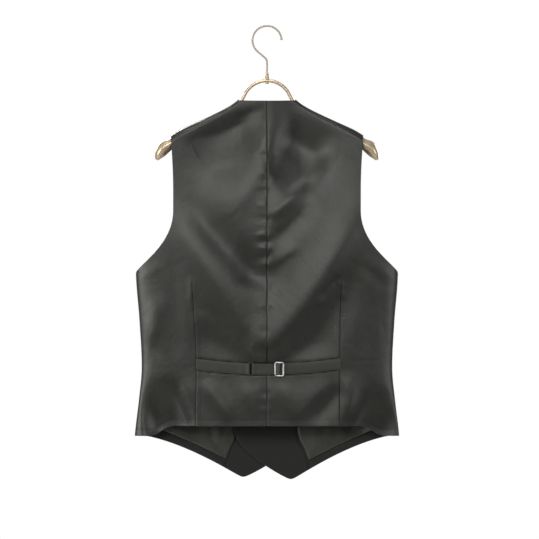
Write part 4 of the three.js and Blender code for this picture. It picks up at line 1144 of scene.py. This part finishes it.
def add_buttons():
    """Six plain buttons: a dished face inside a rounded lip. Each stands on its node's own box."""
    r, half = BUTTON["radius"], BUTTON["thick"] / 2
    back = [(0, half), (r - 1.4, half), (r - 0.5, half - 0.3)]
    rim = [(r, 0.3), (r - 0.1, -0.6), (r - 0.6, -half + 0.2), (r - 1.2, -half)]
    dish = [(r - 1.9, -half + 0.25), (r - 2.7, -half + 0.7), (r - 4, -half + 0.85), (0, -half + 0.9)]
    points, quads = lathe(back + rim + dish)
    for number in range(1, BUTTON["count"] + 1):
        low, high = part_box(f"button_{number}")
        middle = (np.array(low) + np.array(high)) / 2 / MM
        piece = piece_of(f"horn_button_{number}", points + middle, quads, BUTTON_HORN)
        dress(piece, [f"button_{number}"])


add_buttons()


# Hanger


def ellipse_rings(x, z, tilt, depth, height, sides):
    """Elliptical rings in the XZ plane's line: each leans out of the upright by its tilt."""
    angle = 2 * np.pi * np.arange(sides) / sides
    lean = np.radians(tilt)[:, None]
    up = height[:, None] * np.cos(angle)
    y = depth[:, None] * np.sin(angle)
    return np.stack([x[:, None] + up * np.sin(lean), y, z[:, None] + up * np.cos(lean)], -1)


def resample(columns, steps):
    """Columns of stations as smooth curves with more stations, by Catmull's rule."""
    stations = np.stack(columns, -1)
    before = np.concatenate([stations[:1], stations[:-1]])
    after = np.concatenate([stations[1:], stations[-1:]])
    slopes = (after - before) / 2
    t = np.linspace(0, 1, steps, endpoint=False)[None, :, None]
    p0, p1, m0, m1 = stations[:-1, None], stations[1:, None], slopes[:-1, None], slopes[1:, None]
    curve = ((2 * t**3 - 3 * t**2 + 1) * p0 + (t**3 - 2 * t**2 + t) * m0
             + (3 * t**2 - 2 * t**3) * p1 + (t**3 - t**2) * m1)
    return np.concatenate([curve.reshape(-1, stations.shape[1]), stations[-1:]]).T


def add_hanger_bar():
    """The arch and both arms as one bar of elliptical rings, smaller towards each rounded tip."""
    tilt = np.linspace(0, ARCH["leg_angle"], 12)
    arch_x = ARCH["radius"] * np.sin(np.radians(tilt))
    arch_z = ARCH["top_z"] - ARCH["radius"] * (1 - np.cos(np.radians(tilt)))
    tube_size = np.full(12, ARCH["tube"])
    arm_z = ridge(ARM["x"]) - roll_height(ARM["x"])
    columns = [
        np.concatenate([arch_x, LEG["x"], ARM["x"], ARM_TIP["x"]]),
        np.concatenate([arch_z, LEG["z"], arm_z, ARM_TIP["z"]]),
        np.concatenate([tilt, LEG["tilt"], np.zeros(len(arm_z)), ARM_TIP["tilt"]]),
        np.concatenate([tube_size, LEG["depth"], ARM["depth"], ARM_TIP["depth"]]),
        np.concatenate([tube_size, LEG["height"], ARM["height"], ARM_TIP["height"]]),
    ]
    x, z, lean, depth, height = resample(columns, 4)

    def mirrored(values, sign):
        return np.concatenate([sign * values[:0:-1], values])

    rings = ellipse_rings(mirrored(x, -1), mirrored(z, 1), mirrored(lean, -1), mirrored(depth, 1),
                          mirrored(height, 1), 40)
    points, quads = ring_grid(rings)
    return dress(piece_of("hanger_gold_bar", points, quads, HANGER_GOLD), ["hanger_bar"])


def add_hook():
    """The wire hook: an arc over the rail, a bend back to the stem, and a ball at the tip."""
    angle = np.radians(np.linspace(HOOK["tip_angle"], HOOK["bend_angle"], 60))
    centre_z = HOOK["wire"] - HOOK["radius"]
    arc = np.stack([HOOK["radius"] * np.cos(angle), centre_z + HOOK["radius"] * np.sin(angle)])
    x, z = np.concatenate([arc[0], HOOK_STEM["x"]]), np.concatenate([arc[1], HOOK_STEM["z"]])
    x, z = resample([x, z], 3)
    path = np.stack([x, np.zeros(len(x)), z], -1)
    wire = tube(path, HOOK["wire"], 20)
    profile = [(HOOK_BALL * np.sin(a), HOOK_BALL * np.cos(a)) for a in np.linspace(0, np.pi, 18)]
    ball_points, ball_quads = lathe(profile, 24)
    ball = ball_points + path[0], ball_quads
    piece = piece_of("hook_wire", *joined([wire, ball]), HOOK_METAL)
    return dress(piece, ["hanger_hook"])


def add_collars():
    """The cone that the stem passes through and the nut under the arch."""
    bore = HOOK["wire"] + 0.05
    cone = [(bore, FERRULE["base_z"]), (FERRULE["base"] - 0.4, FERRULE["base_z"]),
            (FERRULE["base"], FERRULE["base_z"] + 0.4), (FERRULE["base"], FERRULE["base_z"] + 1.3),
            (FERRULE["base"] - 0.5, FERRULE["base_z"] + 1.9), (FERRULE["top"] + 0.2, FERRULE["top_z"] - 0.6),
            (FERRULE["top"] - 0.3, FERRULE["top_z"]), (bore, FERRULE["top_z"])]
    top = ARCH["top_z"] - ARCH["tube"] - 0.2
    low = top - NUT["height"]
    nut = [(0, low), (NUT["radius"] - 0.5, low), (NUT["radius"], low + 0.5), (NUT["radius"], top - 0.4),
           (NUT["radius"] - 0.4, top), (0, top)]
    for name, profile, target in (("ferrule_cone", cone + cone[:1], "hanger_ferrule"),
                                  ("arch_nut", nut, "hanger_nut")):
        points, quads = lathe(profile)
        upright = np.stack([points[:, 0], -points[:, 2], points[:, 1]], -1)
        dress(piece_of(name, upright, quads, HANGER_GOLD), [target])


add_hanger_bar()
add_hook()
add_collars()


# Stage: a pale floor well below the hem, a white surround and soft lights

FLOOR = dict(z=-2400, radius=2600, thick=20)
SURROUND = dict(dim=0.05, bright=0.3, dim_to=0.35, bright_from=-0.5)
CAMERA = dict(x=-4.5, z=-437.6, away=10000, plane=20, frame=970.2)
# Each light: its name, its place in metres, the height it looks at, its size and its watts
LIGHTS = [
    ("key", (0.45, 3.7, 0.97), -0.43, 1.3, 82),
    ("side_left", (3.5, 1.75, -0.3), -0.45, 1.0, 98),
    ("side_right", (-3.4, 1.9, -0.3), -0.45, 1.0, 52),
    ("top", (0.3, 0.7, 2.4), -0.2, 1.2, 50),
    ("front_left", (1.3, -3.6, 0.9), -0.45, 1.2, 170),
    ("front_right", (-1.9, -3.3, 0.2), -0.45, 1.2, 80),
]


def add_floor():
    """A plain round floor."""
    material, _, _, shader = principled("pale_floor", Roughness=0.9)
    shader.inputs["Base Color"].default_value = (0.86, 0.86, 0.85, 1)
    radius, low = FLOOR["radius"], -FLOOR["thick"]
    points, quads = lathe([(0, 0), (radius, 0), (radius, low), (0, low)], 96)
    upright = np.stack([points[:, 0], -points[:, 2], points[:, 1] + FLOOR["z"]], -1)
    floor = piece_of("floor", upright, quads, material)


def add_world():
    """White to the camera. As light it is dim on the side of the garment's back, where the camera
    stands, and brighter on the far side."""
    world = bpy.data.worlds.new("studio")
    bpy.context.scene.world = world
    world.use_nodes = True
    nodes, links = world.node_tree.nodes, world.node_tree.links
    nodes.clear()
    out = nodes.new("ShaderNodeOutputWorld")
    seen = node(nodes, "ShaderNodeBackground", Strength=1.0)
    seen.inputs["Color"].default_value = (1, 1, 1, 1)
    cast = node(nodes, "ShaderNodeBackground", Strength=1.0)
    place = nodes.new("ShaderNodeTexCoord")
    split = nodes.new("ShaderNodeSeparateXYZ")
    links.new(place.outputs["Generated"], split.inputs["Vector"])
    side = node(nodes, "ShaderNodeMapRange", interpolation_type="SMOOTHSTEP")
    side.inputs["From Min"].default_value = SURROUND["dim_to"]
    side.inputs["From Max"].default_value = SURROUND["bright_from"]
    links.new(split.outputs["Y"], side.inputs["Value"])
    tone = colour_ramp(nodes, [(0.0, (SURROUND["dim"],) * 3), (1.0, (SURROUND["bright"],) * 3)])
    links.new(side.outputs["Result"], tone.inputs["Fac"])
    links.new(tone.outputs["Color"], cast.inputs["Color"])
    path = nodes.new("ShaderNodeLightPath")
    pick = nodes.new("ShaderNodeMixShader")
    links.new(path.outputs["Is Camera Ray"], pick.inputs["Fac"])
    links.new(cast.outputs["Background"], pick.inputs[1])
    links.new(seen.outputs["Background"], pick.inputs[2])
    links.new(pick.outputs["Shader"], out.inputs["Surface"])


def add_light(name, place, aim, size, energy):
    """A soft square light that looks from one place (metres) to another."""
    data = bpy.data.lights.new(name, "AREA")
    data.shape = "SQUARE"
    data.size = size
    data.energy = energy
    light = bpy.data.objects.new(name, data)
    bpy.context.scene.collection.objects.link(light)
    way = np.array(aim, float) - np.array(place, float)
    light.location = place
    tilt = math.acos(-way[2] / np.linalg.norm(way))
    light.rotation_euler = (tilt, 0, math.atan2(way[1], way[0]) - math.pi / 2)


def add_camera():
    """A camera square on to the back, far enough away to see it almost without perspective."""
    data = bpy.data.cameras.new("camera")
    data.sensor_width = 36
    data.lens = data.sensor_width * (CAMERA["away"] - CAMERA["plane"]) / CAMERA["frame"]
    data.clip_end = 100
    camera = bpy.data.objects.new("camera", data)
    bpy.context.scene.collection.objects.link(camera)
    camera.location = (CAMERA["x"] * MM, CAMERA["away"] * MM, CAMERA["z"] * MM)
    camera.rotation_euler = (math.pi / 2, 0, math.pi)
    bpy.context.scene.camera = camera


add_floor()
add_world()
for name, place, aim_z, size, energy in LIGHTS:
    add_light(name, place, (0, 0, aim_z), size, energy)
add_camera()
bpy.context.scene.view_settings.view_transform = "Standard"
